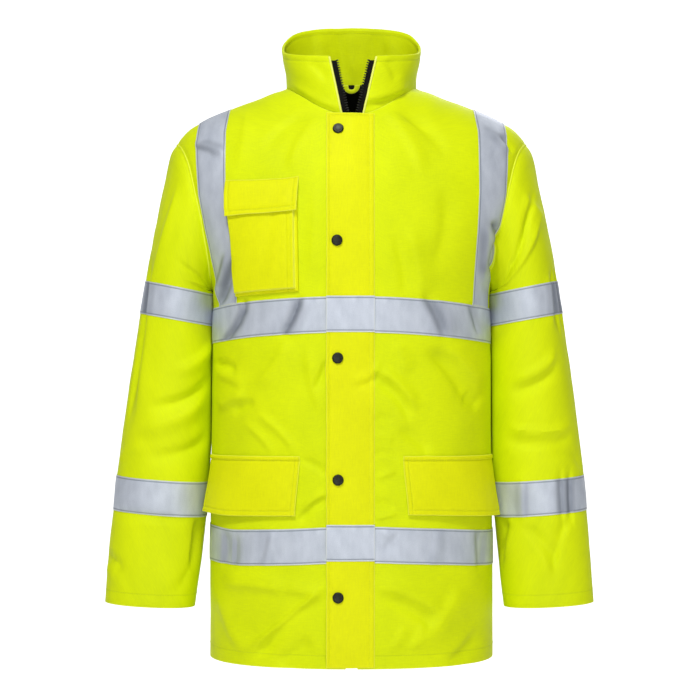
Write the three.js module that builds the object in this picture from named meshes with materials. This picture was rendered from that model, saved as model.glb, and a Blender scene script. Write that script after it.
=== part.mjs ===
// Hi-vis work jacket, filled out as it is when worn, with nobody in it.
// Millimetres. +X is the wearer's left, the front faces -Y and +Z is up.
// The origin is on the neck's middle line, level with the shoulder seams' inner ends.
import * as THREE from 'three';

// Driving sizes of the cloth and trims
const TAPE_WIDTH = 50;
const TAPE_THICK = 0.8;
const BODY_WALL = 2;
const COLLAR_WALL = 4;
const SEAM_GAP = 0.3;
const FLAP_WALL = 2;
const SNAP_RADIUS = 7.75;
const SNAP_HEIGHT = 2.4;
const SNAP_CLEAR = 0.6; // for the flap's bend under the cap

// Rounding of the body's cross-section, and the heights where its shoulders start to close in
const SQUARENESS = 2.3;
const SHOULDER_BASE = -230;
const LEVEL_STEP = 4.5; // millimetres of height for each level step below the shoulders

// The body's half width and its depth in front of and behind the side seams
const BODY = [
  { z: -810, half: 204.5, front: 151, back: 142 },
  { z: -640, half: 204, front: 150, back: 140 },
  { z: -500, half: 202.5, front: 149, back: 137 },
  { z: -340, half: 201, front: 150, back: 138 },
  { z: -288, half: 200, front: 150, back: 140 },
  { z: -260, half: 208, front: 150, back: 141 },
  { z: -200, half: 231, front: 150, back: 142 },
  { z: -120, half: 255, front: 150, back: 142 },
  { z: 40, half: 268, front: 150, back: 140 },
];

// Height of the shoulder line over each distance from the middle
const SHOULDER = [
  { x: 0, z: 45 },
  { x: 60, z: 27 },
  { x: 95, z: 8 },
  { x: 114, z: 1.7 },
  { x: 135, z: -7 },
  { x: 160, z: -15.7 },
  { x: 182, z: -24.4 },
  { x: 203, z: -33 },
  { x: 220, z: -42 },
  { x: 236, z: -52 },
  { x: 254, z: -72 },
  { x: 275, z: -100 },
];

// Neckline seen from above, and the armhole seen from the side
const NECK = { half: 94, front: 108, back: 58 };
const ARMHOLE = { middle: -176.5, half: 104.5, front: 74, back: 76 };
const SETTLE = { from: 225, passes: 12, share: 0.5 }; // finds how far out the armhole lies at a height

// Rows of the front below the neckline: heights at the zip and at the side
const LOWER_ROWS = [
  { name: 'hem', zip: -810, side: -810 },
  { name: 'skirtLow', zip: -776, side: -779 },
  { name: 'skirtMiddle', zip: -740, side: -746 },
  { name: 'skirtHigh', zip: -702, side: -712 },
  { name: 'hemTapeBottom', zip: -663, side: -677 },
  { name: 'hemTapeTop', zip: -613, side: -627 },
  { name: 'lowFlapBottom', zip: -596, side: -606 },
  { name: 'lowFlapMiddle', zip: -556, side: -562 },
  { name: 'lowFlapTop', zip: -516, side: -519 },
  { name: 'waist', zip: -457, side: -465 },
  { name: 'ribs', zip: -400, side: -411 },
  { name: 'chestTapeBottom', zip: -346, side: -361 },
  { name: 'chestTapeTop', zip: -296, side: -311 },
  { name: 'pocketBottom', zip: -288, side: -302 },
];
// Rows that end on the armhole, by the angle down it from the shoulder, and start at the zip
const CHEST_ROWS = [
  { name: 'underarm', zip: -271, angle: 180 },
  { name: 'chest1', zip: -252, angle: 158 },
  { name: 'chest2', zip: -230, angle: 136 },
  { name: 'chest3', zip: -203, angle: 115 },
  { name: 'pocketFlapBottom', zip: -174, angle: 95 },
  { name: 'pocketFlapMiddle', zip: -148, angle: 80 },
  { name: 'pocketFlapTop', zip: -123, angle: 66 },
  { name: 'collarbone', zip: -80, angle: 54 },
];
// Rows that start on the neckline, by the angle round it from the shoulder
const NECK_ROWS = [
  { name: 'neckFront', neck: 88, angle: 44 },
  { name: 'neck1', neck: 71, angle: 35 },
  { name: 'neck2', neck: 53, angle: 26 },
  { name: 'neck3', neck: 36, angle: 17 },
  { name: 'neck4', neck: 18, angle: 8.5 },
  { name: 'shoulder', neck: 0, angle: 0 },
];

// Lengthwise lines on the fronts: the pockets' inner edge, and the shoulder tape's inner edge
const POCKET_LINE = [
  { z: -810, x: 75 },
  { z: -596, x: 77 },
  { z: -516, x: 71 },
  { z: -346, x: 74 },
  { z: -176, x: 77 },
  { z: -123, x: 75.5 },
];
const TAPE_LINE = [
  { z: -810, right: 150, left: 150 },
  { z: -500, right: 150, left: 152 },
  { z: -346, right: 160, left: 170 },
  { z: -296, right: 160.5, left: 170 },
  { z: -215, right: 167, left: 175.5 },
  { z: -150, right: 176, left: 179 },
  { z: -60, right: 178, left: 179 },
  { z: -20, right: 174, left: 175 },
];
// How much nearer the middle the shoulder tapes run on the back
const BACK_TAPE_SHIFT = [
  { z: -346, in: 20 },
  { z: -250, in: 20 },
  { z: -150, in: 14 },
  { z: -60, in: 3 },
  { z: -30, in: 0 },
];
// Cloth from the tape line to the next lengthwise line: the lower flaps' outer edge, then the tape's other edge
const MARK_WIDTH = [
  { zip: -516, wide: 88 },
  { zip: -346, wide: TAPE_WIDTH },
];
const NECK_TAPER = { pocket: 0.3, tape: 0.45 }; // where the pocket line runs on rows that start at the neck
const CELLS = { middle: 3, pocket: 4, tape: 3, side: 3 };

// Half width of the zip's slot, from the hem to the collar's foot
const ZIP_SLOT = { straight: 8, rightTop: 12.7, leftTop: 15.5, opensAt: -80, top: -39 };

// Storm flap over the zip
const STORM = { free: -34.5, sewn: 32, top: -40, bottom: -808, lift: 1.6, topLift: 2.4 };
const SNAPS = [
  { x: -18.5, z: -61.7 },
  { x: -20, z: -219 },
  { x: -19, z: -381 },
  { x: -18.5, z: -549 },
  { x: -18.5, z: -711 },
];

// Collar: half width, front and back depth at each share of its height
const COLLAR = [
  { share: 0, half: 94, front: 108, back: 58 },
  { share: 0.3, half: 94.5, front: 108, back: 62 },
  { share: 0.65, half: 98.5, front: 104, back: 67 },
  { share: 1, half: 101, front: 99, back: 71 },
];
// Height of the collar's rim, by how far back on the neck it is
const RIM = [
  { y: -99, z: 43 },
  { y: -75, z: 47 },
  { y: -50, z: 52 },
  { y: -25, z: 58.5 },
  { y: 0, z: 67.5 },
  { y: 25, z: 80 },
  { y: 45, z: 94 },
  { y: 71, z: 108 },
];
const RIM_SQUARENESS = 2.5;
const COLLAR_OPENING = { rightFoot: -12.7, rightRim: -30.5, leftFoot: 15.5, leftRim: 34.3 };

// Sleeve stations: outer and inner edge seen from the front, depth, and how far the middle is back
const SLEEVE = [
  { name: 'armhole', outX: 254, outZ: -72, inX: 200, inZ: -281, depth: 150, back: 0, seam: 1 },
  { name: 'cap1', outX: 264, outZ: -92, inX: 202, inZ: -283, depth: 154, back: 1, seam: 0.8 },
  { name: 'cap2', outX: 272.5, outZ: -133, inX: 203, inZ: -284.7, depth: 159, back: 3, seam: 0.5 },
  { name: 'cap3', outX: 282.5, outZ: -180, inX: 203, inZ: -286, depth: 163, back: 6, seam: 0.22 },
  { name: 'cap4', outX: 291, outZ: -225, inX: 202, inZ: -287.5, depth: 165, back: 8, seam: 0.06 },
  { name: 'upTapeTop', outX: 298.5, outZ: -270, inX: 201, inZ: -289.5, depth: 165, back: 10, seam: 0 },
  { name: 'upTapeBottom', outX: 306, outZ: -317, inX: 200.5, inZ: -336, depth: 162, back: 11, seam: 0 },
  { name: 'upperArm', outX: 315.5, outZ: -375, inX: 200, inZ: -394, depth: 156, back: 12, seam: 0 },
  { name: 'elbow', outX: 323.5, outZ: -433, inX: 200, inZ: -450, depth: 149, back: 10, seam: 0 },
  { name: 'forearm', outX: 331, outZ: -492, inX: 201.5, inZ: -505, depth: 140, back: 6, seam: 0 },
  { name: 'lowTapeTop', outX: 338.5, outZ: -550, inX: 205, inZ: -560, depth: 131, back: 0, seam: 0 },
  { name: 'lowTapeBottom', outX: 342.5, outZ: -600, inX: 208.5, inZ: -610, depth: 123, back: -5, seam: 0 },
  { name: 'wrist', outX: 347.5, outZ: -658, inX: 214, inZ: -666, depth: 115, back: -10, seam: 0 },
  { name: 'cuff', outX: 352.5, outZ: -732, inX: 223, inZ: -739, depth: 105, back: -15, seam: 0 },
];
const SLEEVE_CLEAR = 3; // the sleeve's inner side is pressed to the body's shape, this far off it
const CLEAR_STATIONS = 5; // stations over which that gap opens from the armhole
const SLEEVE_LEAN = { right: 3, left: -3, from: 270, over: 460 }; // how much further out the cuff hangs
const SLEEVE_REACH = 0.93; // below 1 the tube is a little squarer than an ellipse

// Largest folds pushed out of (or, negative, into) the cloth, as soft ridges between two points
const FRONT_FOLDS = [
  { x0: -48, z0: -702, x1: -140, z1: -785, wide: 20, high: 6 },
  { x0: -75, z0: -765, x1: -110, z1: -800, wide: 18, high: -4 },
  { x0: -175, z0: -700, x1: -90, z1: -708, wide: 22, high: -4 },
  { x0: -180, z0: -430, x1: -120, z1: -455, wide: 28, high: 4 },
  { x0: -160, z0: -470, x1: -60, z1: -490, wide: 20, high: -3 },
  { x0: 110, z0: -385, x1: 170, z1: -455, wide: 30, high: -4 },
  { x0: 90, z0: -440, x1: 150, z1: -490, wide: 20, high: 4 },
  { x0: 70, z0: -480, x1: 55, z1: -600, wide: 20, high: -3 },
  { x0: 150, z0: -700, x1: 90, z1: -776, wide: 24, high: 5 },
  { x0: 175, z0: -770, x1: 140, z1: -800, wide: 20, high: -4 },
];
const FOLD_EDGE = 40; // folds fade out over this depth in front of and behind the side seams
const SLEEVE_FOLDED_FROM = 6; // first station with folds
const SLEEVE_FOLDS = [
  { station: 8.4, angle: 60, along: 0.9, round: 60, high: 4 },
  { station: 7.4, angle: 130, along: 0.8, round: 50, high: -4 },
  { station: 12, angle: 100, along: 0.7, round: 60, high: -3 },
  { station: 9, angle: 250, along: 0.9, round: 60, high: -5 },
  { station: 7.6, angle: 260, along: 0.7, round: 55, high: 4 },
];

const DEGREE = Math.PI / 180;
const DENSE = 240; // steps of the fine curve that a row's columns are measured along
const SIDES = { right: -1, left: 1 };

// Smooth reading between a table's rows
function read(table, key, at, column) {
  const last = table.length - 1;
  const low = Math.min(table[0][key], table[last][key]);
  const high = Math.max(table[0][key], table[last][key]);
  const value = Math.min(Math.max(at, low), high);
  let i = 0;
  while (i < last - 1 && (table[i + 1][key] - value) * Math.sign(table[last][key] - table[0][key]) < 0) i += 1;
  const slope = (j) => {
    const a = table[Math.max(j - 1, 0)];
    const b = table[Math.min(j + 1, last)];
    return (b[column] - a[column]) / (b[key] - a[key]);
  };
  const width = table[i + 1][key] - table[i][key];
  const t = (value - table[i][key]) / width;
  const ends = [table[i][column], table[i + 1][column]];
  const rise = [slope(i) * width, slope(i + 1) * width];
  const t2 = t * t;
  const t3 = t2 * t;
  return ends[0] * (2 * t3 - 3 * t2 + 1) + rise[0] * (t3 - 2 * t2 + t)
    + ends[1] * (3 * t2 - 2 * t3) + rise[1] * (t3 - t2);
}

function straight(table, key, at, column) {
  const value = Math.min(Math.max(at, table[0][key]), table[table.length - 1][key]);
  let i = 0;
  while (i < table.length - 2 && table[i + 1][key] < value) i += 1;
  const t = (value - table[i][key]) / (table[i + 1][key] - table[i][key]);
  return table[i][column] + t * (table[i + 1][column] - table[i][column]);
}

const mix = (a, b, t) => a + (b - a) * t;

// The body's surface. face is 'front' or 'back', x is measured from the middle.
function closing(x, z) {
  const top = read(SHOULDER, 'x', x, 'z');
  return Math.min(Math.max((z - SHOULDER_BASE) / (top - SHOULDER_BASE), 0), 1);
}

function depthOf(face, x, z) {
  const across = Math.min(x / read(BODY, 'z', z, 'half'), 1);
  const round = (1 - across ** SQUARENESS) ** (1 / SQUARENESS);
  return read(BODY, 'z', z, face) * round * Math.sqrt(1 - closing(x, z) ** 2);
}

// A level counts steps below the shoulders, and degrees of their closing curve above that
function levelOf(x, z) {
  if (z < SHOULDER_BASE) return (z - SHOULDER_BASE) / LEVEL_STEP;
  return Math.asin(closing(x, z)) / DEGREE;
}

function heightOf(x, level) {
  if (level < 0) return SHOULDER_BASE + level * LEVEL_STEP;
  const top = read(SHOULDER, 'x', x, 'z');
  return SHOULDER_BASE + (top - SHOULDER_BASE) * Math.sin(Math.min(level, 90) * DEGREE);
}

function bodyPoint(face, x, level) {
  const z = heightOf(x, level);
  const y = Math.max(depthOf(face, x, z), SEAM_GAP / 2);
  return new THREE.Vector3(x, face === 'front' ? -y : y, z);
}

// Outward direction of the body's surface, from the gradient of its squared form
function bodyNormal(face, point) {
  const side = Math.sign(point.x) || 1;
  const x = Math.abs(point.x);
  const value = (px, py, pz) => {
    const across = Math.min(Math.abs(px) / read(BODY, 'z', pz, 'half'), 1);
    const round = Math.max(1 - across ** SQUARENESS, 1e-9) ** (2 / SQUARENESS);
    return round * (1 - closing(Math.abs(px), pz) ** 2) - (py / read(BODY, 'z', pz, face)) ** 2;
  };
  const step = 0.5;
  const px = Math.min(x, read(BODY, 'z', point.z, 'half') - step);
  const normal = new THREE.Vector3(
    value(px - step, point.y, point.z) - value(px + step, point.y, point.z),
    value(x, point.y - step, point.z) - value(x, point.y + step, point.z),
    value(px, point.y, point.z - step) - value(px, point.y, point.z + step),
  );
  normal.x *= side;
  return normal.normalize();
}

function neckPoint(face, angle) {
  const x = Math.max(NECK.half * Math.cos(angle * DEGREE), 0);
  const y = Math.max(NECK[face] * Math.sin(angle * DEGREE), SEAM_GAP / 2);
  const across = (x / read(BODY, 'z', 0, 'half')) ** SQUARENESS;
  const share = y / (read(BODY, 'z', 0, face) * (1 - across) ** (1 / SQUARENESS));
  return { x, level: Math.acos(Math.min(share, 1)) / DEGREE };
}

function armholePoint(face, angle) {
  const z = ARMHOLE.middle + ARMHOLE.half * Math.cos(angle * DEGREE);
  const y = Math.max(ARMHOLE[face] * Math.sin(angle * DEGREE), SEAM_GAP / 2);
  let x = SETTLE.from;
  for (let pass = 0; pass < SETTLE.passes; pass += 1) {
    const share = y / (read(BODY, 'z', z, face) * Math.sqrt(Math.max(1 - closing(x, z) ** 2, 1e-6)));
    const full = read(BODY, 'z', z, 'half');
    const wide = full * Math.max(1 - Math.min(share, 1) ** SQUARENESS, 0) ** (1 / SQUARENESS);
    x = mix(x, wide, SETTLE.share);
  }
  if (angle === 0) x = SLEEVE[0].outX;
  if (angle === 180) x = SLEEVE[0].inX;
  return { x, level: angle === 0 ? 90 : levelOf(x, z) };
}

function slotEdge(hand, z) {
  const top = hand === 'right' ? ZIP_SLOT.rightTop : ZIP_SLOT.leftTop;
  const t = Math.min(Math.max((z - ZIP_SLOT.opensAt) / (ZIP_SLOT.top - ZIP_SLOT.opensAt), 0), 1);
  return mix(ZIP_SLOT.straight, top, t * t);
}

// Height of a soft fold at a point of the front or back
function foldAt(folds, x, z) {
  let total = 0;
  for (const fold of folds) {
    const dx = fold.x1 - fold.x0;
    const dz = fold.z1 - fold.z0;
    const length2 = dx * dx + dz * dz;
    const t = Math.min(Math.max(((x - fold.x0) * dx + (z - fold.z0) * dz) / length2, 0), 1);
    const far2 = (x - fold.x0 - t * dx) ** 2 + (z - fold.z0 - t * dz) ** 2;
    total += fold.high * Math.exp(-far2 / (fold.wide * fold.wide));
  }
  return total;
}

const ROWS = [...LOWER_ROWS, ...CHEST_ROWS, ...NECK_ROWS];
const rowIndex = (name) => ROWS.findIndex((row) => row.name === name);

// The two ends of a row, and how its level runs between them
function rowEnds(face, hand, row) {
  const inner = row.neck === undefined
    ? { x: face === 'front' ? slotEdge(hand, row.zip) : 0, level: levelOf(0, row.zip) }
    : neckPoint(face, row.neck);
  const outer = row.angle === undefined
    ? { x: read(BODY, 'z', row.side, 'half'), level: levelOf(0, row.side) }
    : armholePoint(face, row.angle);
  if (row.name === 'neckFront') inner.x = face === 'front' ? slotEdge(hand, 0) : 0;
  return { inner, outer, power: row.neck === undefined ? 2 : 1 };
}

// One row of a half panel, as points at the panel's columns, on the +X side
function bodyRow(face, hand, row) {
  const { inner, outer, power } = rowEnds(face, hand, row);
  const fine = [];
  for (let i = 0; i <= DENSE; i += 1) {
    const share = Math.sin((i / DENSE) * 90 * DEGREE);
    const x = mix(inner.x, outer.x, share);
    fine.push(bodyPoint(face, x, mix(inner.level, outer.level, share ** power)));
  }
  const lengths = [0];
  for (let i = 1; i <= DENSE; i += 1) lengths.push(lengths[i - 1] + fine[i].distanceTo(fine[i - 1]));
  const total = lengths[DENSE];
  const lengthAt = (lineX) => {
    const i = fine.findIndex((point) => point.x >= lineX(point.z));
    return i < 0 ? total : lengths[Math.max(i, 0)];
  };
  const taper = total * NECK_TAPER.pocket;
  const pocket = Math.max(lengthAt((z) => read(POCKET_LINE, 'z', z, 'x')), 1);
  const shift = (z) => (face === 'back' ? straight(BACK_TAPE_SHIFT, 'z', z, 'in') : 0);
  const tape = lengthAt((z) => straight(TAPE_LINE, 'z', z, hand) - shift(z));
  const zip = row.zip ?? 0;
  const wide = straight(MARK_WIDTH, 'zip', zip, 'wide');
  const first = row.neck === undefined ? pocket : Math.min(taper, tape * NECK_TAPER.tape);
  const marks = [0, first, tape, tape + wide, total];
  const counts = [CELLS.middle, CELLS.pocket, CELLS.tape, CELLS.side];
  const stops = [0];
  counts.forEach((count, k) => {
    for (let i = 1; i <= count; i += 1) stops.push(mix(marks[k], marks[k + 1], i / count));
  });
  return stops.map((stop) => {
    let i = 1;
    while (i < DENSE && lengths[i] < stop) i += 1;
    const t = (stop - lengths[i - 1]) / Math.max(lengths[i] - lengths[i - 1], 1e-6);
    return fine[i - 1].clone().lerp(fine[i], Math.min(Math.max(t, 0), 1));
  });
}

// Half a front or back: its rows of points, and the outward direction at each
function halfPanel(face, hand) {
  const side = SIDES[hand];
  const rows = ROWS.map((row) => bodyRow(face, hand, row));
  const normals = rows.map((row) => row.map((point) => bodyNormal(face, point)));
  rows.forEach((row, r) => row.forEach((point, c) => {
    const swell = foldAt(FRONT_FOLDS, face === 'front' ? point.x * side : -point.x * side, point.z);
    const edge = Math.min(1, Math.abs(point.y) / FOLD_EDGE);
    point.addScaledVector(normals[r][c], swell * edge);
    point.x *= side;
    normals[r][c].x *= side;
  }));
  return { rows, normals };
}

// The body's half width level with a point beside it
function bodyEdge(point) {
  const face = point.y < 0 ? 'front' : 'back';
  const share = Math.min(Math.abs(point.y) / read(BODY, 'z', point.z, face), 1);
  return read(BODY, 'z', Math.min(point.z, ARMHOLE.middle - ARMHOLE.half), 'half')
    * (1 - share ** SQUARENESS) ** (1 / SQUARENESS);
}
const clearance = (k) => SLEEVE_CLEAR * Math.min(k / CLEAR_STATIONS, 1);

// A sleeve's rings, each from the shoulder down the front to the underarm and up the back
function sleeveRings(hand, panels) {
  const side = SIDES[hand];
  const lastRow = ROWS.length - 1;
  const firstRow = rowIndex('underarm');
  const order = [];
  for (let r = lastRow; r >= firstRow; r -= 1) order.push({ face: 'front', r });
  for (let r = firstRow + 1; r < lastRow; r += 1) order.push({ face: 'back', r });
  const seam = order.map(({ face, r }) => {
    const row = panels[face].rows[r];
    const point = row[row.length - 1].clone();
    if (r === lastRow || r === firstRow) point.y = 0;
    return point;
  });
  const angles = order.map(({ face, r }) => (face === 'front' ? ROWS[r].angle : 360 - ROWS[r].angle));
  const ellipse = (station, angle) => {
    const lean = SLEEVE_LEAN[hand] * Math.max(0, (-station.outZ - SLEEVE_LEAN.from) / SLEEVE_LEAN.over);
    const c = Math.cos(angle * DEGREE);
    const s = Math.sin(angle * DEGREE);
    const reach = (value) => Math.sign(value) * Math.abs(value) ** SLEEVE_REACH;
    const middleX = (station.outX + station.inX) / 2 + lean;
    const middleZ = (station.outZ + station.inZ) / 2;
    return new THREE.Vector3(
      (middleX + (reach(c) * (station.outX - station.inX)) / 2) * side,
      station.back - (reach(s) * station.depth) / 2,
      middleZ + (reach(c) * (station.outZ - station.inZ)) / 2,
    );
  };
  const rings = SLEEVE.map((station, k) => angles.map((angle, i) => {
    const pull = seam[i].clone().sub(ellipse(SLEEVE[0], angle)).multiplyScalar(station.seam);
    const point = ellipse(station, angle).add(pull);
    if (k >= SLEEVE_FOLDED_FROM && k < SLEEVE.length - 1) {
      const middle = ellipse(station, 0).add(ellipse(station, 180)).multiplyScalar(0.5);
      const out = point.clone().sub(middle).normalize();
      for (const fold of SLEEVE_FOLDS) {
        const turn = ((angle - fold.angle + 540) % 360) - 180;
        const bump = Math.exp(-(((k - fold.station) / fold.along) ** 2) - (turn / fold.round) ** 2);
        point.addScaledVector(out, fold.high * bump);
      }
    }
    if (k > 0) point.x = side * Math.max(point.x * side, bodyEdge(point) + clearance(k));
    return point;
  }));
  return { rings, order };
}

// Outward directions of a ring lattice, from its neighbours
function ringNormals(rings) {
  return rings.map((ring, k) => ring.map((point, i) => {
    const count = ring.length;
    const round = ring[(i + 1) % count].clone().sub(ring[(i - 1 + count) % count]);
    const along = rings[Math.min(k + 1, rings.length - 1)][i].clone().sub(rings[Math.max(k - 1, 0)][i]);
    const normal = round.cross(along).normalize();
    const middle = ring.reduce((sum, p) => sum.add(p), new THREE.Vector3()).divideScalar(count);
    return normal.dot(point.clone().sub(middle)) < 0 ? normal.negate() : normal;
  }));
}

// An open surface is a list of points and triangles. One lattice of rows, closed round if asked.
// Past turnedFrom its cells are cut along their other diagonal.
function lattice(rows, closed = false, turnedFrom = rows.length) {
  const width = rows[0].length;
  const points = rows.flat();
  const triangles = [];
  const across = closed ? width : width - 1;
  for (let r = 0; r + 1 < rows.length; r += 1) {
    for (let c = 0; c < across; c += 1) {
      const a = r * width + c;
      const b = r * width + ((c + 1) % width);
      if (r < turnedFrom) triangles.push([a, b, b + width], [a, b + width, a + width]);
      else triangles.push([a, b, a + width], [b, b + width, a + width]);
    }
  }
  return { points, triangles };
}

// A wall between an outer surface and an inner one that has the same triangles
function wall(triangles, outer, inner) {
  const count = outer.length;
  const used = new Set();
  const key = (a, b) => `${a}_${b}`;
  triangles.forEach(([a, b, c]) => {
    used.add(key(a, b)).add(key(b, c)).add(key(c, a));
  });
  const faces = [];
  triangles.forEach(([a, b, c]) => {
    faces.push([a, b, c], [a + count, c + count, b + count]);
    [[a, b], [b, c], [c, a]].forEach(([from, to]) => {
      if (used.has(key(to, from))) return;
      faces.push([from, from + count, to + count], [from, to + count, to]);
    });
  });
  const all = [...outer, ...inner];
  let volume = 0;
  faces.forEach(([a, b, c]) => {
    volume += all[a].dot(all[b].clone().cross(all[c]));
  });
  const geometry = new THREE.BufferGeometry();
  const flat = all.flatMap((point) => [point.x, point.y, point.z]);
  geometry.setAttribute('position', new THREE.Float32BufferAttribute(flat, 3));
  geometry.setIndex(faces.flatMap(([a, b, c]) => (volume > 0 ? [a, b, c] : [a, c, b])));
  geometry.computeVertexNormals();
  return geometry;
}

const moved = (points, normals, by) => points.map((point, i) => point.clone().addScaledVector(normals[i], by));

const jacket = new THREE.Group();
const FINISH = {
  yellow: { color: 0xdaea14, roughness: 0.7, metalness: 0 },
  pale: { color: 0xe4f02c, roughness: 0.7, metalness: 0 },
  silver: { color: 0xc8d1da, roughness: 0.45, metalness: 0.3 },
  black: { color: 0x101302, roughness: 0.8, metalness: 0 },
  gunmetal: { color: 0x31351f, roughness: 0.35, metalness: 0.8 },
};

function add(name, geometry, finish) {
  const mesh = new THREE.Mesh(geometry, new THREE.MeshStandardMaterial(FINISH[finish]));
  mesh.name = name;
  jacket.add(mesh);
  return mesh;
}

// Body panels and sleeves
const half = {};
for (const hand of ['right', 'left']) {
  half[hand] = { front: halfPanel('front', hand), back: halfPanel('back', hand) };
}
const sleeves = {};
for (const hand of ['right', 'left']) sleeves[hand] = sleeveRings(hand, half[hand]);

// Where the sleeve meets the body, both cut edges face along one shared direction.
// It turns straight down at the underarm, where the two cloths hang side by side.
const UNDERARM_TURN = [1, 0.85, 0.35];
for (const hand of ['right', 'left']) {
  const { rings, order } = sleeves[hand];
  const normals = ringNormals(rings);
  const under = rowIndex('underarm');
  order.forEach(({ face, r }, i) => {
    const panel = half[hand][face];
    const c = panel.rows[r].length - 1;
    const down = UNDERARM_TURN[r - under] ?? 0;
    const shared = panel.normals[r][c].clone().add(normals[0][i]).normalize();
    shared.lerp(new THREE.Vector3(0, 0, -1), down).normalize();
    normals[0][i].copy(shared);
    panel.normals[r][c].copy(shared);
    const inward = panel.rows[r][c - 1].clone().sub(panel.rows[r][c]).normalize();
    panel.rows[r][c].addScaledVector(inward, SEAM_GAP / 2);
    rings[0][i].addScaledVector(inward, -SEAM_GAP / 2);
    const other = half[hand].back;
    if (face === 'front' && (r === under || r === ROWS.length - 1)) {
      other.normals[r][c].copy(shared);
      const back = other.rows[r][c - 1].clone().sub(other.rows[r][c]).normalize();
      other.rows[r][c].addScaledVector(back, SEAM_GAP / 2);
    }
  });
  sleeves[hand].normals = normals;
}

// Collar columns run from the right front edge round the back to the left front edge
const frontRows = NECK_ROWS.map((row) => row.neck);
function collarColumn(hand, face, neckAngle, share) {
  const foot = Math.abs(COLLAR_OPENING[`${hand}Foot`]);
  const rim = Math.abs(COLLAR_OPENING[`${hand}Rim`]);
  const halfWidth = read(COLLAR, 'share', share, 'half');
  const deep = read(COLLAR, 'share', share, face);
  const footAngle = Math.acos(foot / NECK.half) / DEGREE;
  const square = mix(2, RIM_SQUARENESS, share);
  const edgeAngle = Math.acos((mix(foot, rim, share) / halfWidth) ** (square / 2)) / DEGREE;
  const stretch = face === 'front' ? Math.min(neckAngle, footAngle) / footAngle : neckAngle / 90;
  const angle = face === 'front' ? stretch * edgeAngle : neckAngle;
  const footPoint = face === 'front' ? neckPoint(face, stretch * footAngle) : neckPoint(face, neckAngle);
  const footZ = heightOf(footPoint.x, footPoint.level) + SEAM_GAP;
  const power = 2 / square;
  const y = (face === 'front' ? -1 : 1) * deep * Math.max(Math.sin(angle * DEGREE), 0) ** power;
  const x = SIDES[hand] * halfWidth * Math.max(Math.cos(angle * DEGREE), 0) ** power;
  return new THREE.Vector3(x, y, mix(footZ, read(RIM, 'y', y, 'z'), share));
}
const collarStops = [];
for (const neck of frontRows) collarStops.push({ hand: 'right', face: 'front', neck });
for (const neck of [...frontRows].reverse().slice(1)) collarStops.push({ hand: 'right', face: 'back', neck });
collarStops[collarStops.length - 1].neck = 90;
for (const neck of frontRows.slice(1)) collarStops.push({ hand: 'left', face: 'back', neck });
for (const neck of [...frontRows].reverse().slice(1)) collarStops.push({ hand: 'left', face: 'front', neck });
const COLLAR_SHARES = [0, 0.15, 0.35, 0.6, 0.8, 1];
const collarRows = COLLAR_SHARES.map((share) => collarStops.map((stop) => (
  collarColumn(stop.hand, stop.face, stop.neck, share))));
const collarNormals = collarRows.map((row, r) => row.map((point, c) => {
  const along = row[Math.min(c + 1, row.length - 1)].clone().sub(row[Math.max(c - 1, 0)]);
  const up = collarRows[Math.min(r + 1, collarRows.length - 1)][c].clone()
    .sub(collarRows[Math.max(r - 1, 0)][c]);
  const normal = along.cross(up).normalize();
  return normal.dot(new THREE.Vector3(point.x, point.y, 0)) < 0 ? normal.negate() : normal;
}));

// The neck seam's cut edges share one direction too
const neckFirst = rowIndex('neckFront');
collarStops.forEach((stop, c) => {
  const r = neckFirst + frontRows.indexOf(stop.neck === 90 ? frontRows[0] : stop.neck);
  const panel = half[stop.hand][stop.face];
  const shared = panel.normals[r][0].clone().add(collarNormals[0][c]).normalize();
  collarNormals[0][c].copy(shared);
  const others = r === ROWS.length - 1 ? ['front', 'back'] : [stop.face];
  others.forEach((face) => half[stop.hand][face].normals[r][0].copy(shared));
  if (stop.neck === 90) half.left.back.normals[r][0].copy(shared);
});

// A front is one half panel, and the back is both halves joined down the middle
for (const hand of ['right', 'left']) {
  const { rows, normals } = half[hand].front;
  const { points, triangles } = lattice(rows);
  add(`front_${hand}`, wall(triangles, points, moved(points, normals.flat(), -BODY_WALL)), 'yellow');
}

function joinHalves(first, last) {
  const sheets = ['right', 'left'].map((hand) => {
    const { rows, normals } = half[hand].back;
    return { rows: rows.slice(first, last + 1), normals: normals.slice(first, last + 1) };
  });
  const points = [];
  const normals = [];
  const triangles = [];
  const seen = new Map();
  sheets.forEach((sheet) => {
    const { points: own, triangles: ownTriangles } = lattice(sheet.rows);
    const ownNormals = sheet.normals.flat();
    const flip = sheet === sheets[0];
    const index = own.map((point, i) => {
      const name = Math.abs(point.x) < 0.01 ? `middle${point.z.toFixed(2)}` : `${flip}${i}`;
      if (!seen.has(name)) {
        seen.set(name, points.length);
        points.push(point);
        normals.push(ownNormals[i]);
      }
      return seen.get(name);
    });
    ownTriangles.forEach(([a, b, c]) => {
      triangles.push(flip ? [index[a], index[c], index[b]] : [index[a], index[b], index[c]]);
    });
  });
  return { points, normals, triangles };
}
const back = joinHalves(0, ROWS.length - 1);
add('back', wall(back.triangles, back.points, moved(back.points, back.normals, -BODY_WALL)), 'yellow');

for (const hand of ['right', 'left']) {
  const { rings, normals } = sleeves[hand];
  const { points, triangles } = lattice(rings, true);
  add(`sleeve_${hand}`, wall(triangles, points, moved(points, normals.flat(), -BODY_WALL)), 'yellow');
}

{
  const { points, triangles } = lattice(collarRows);
  add('collar', wall(triangles, points, moved(points, collarNormals.flat(), -COLLAR_WALL)), 'yellow');
}

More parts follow.
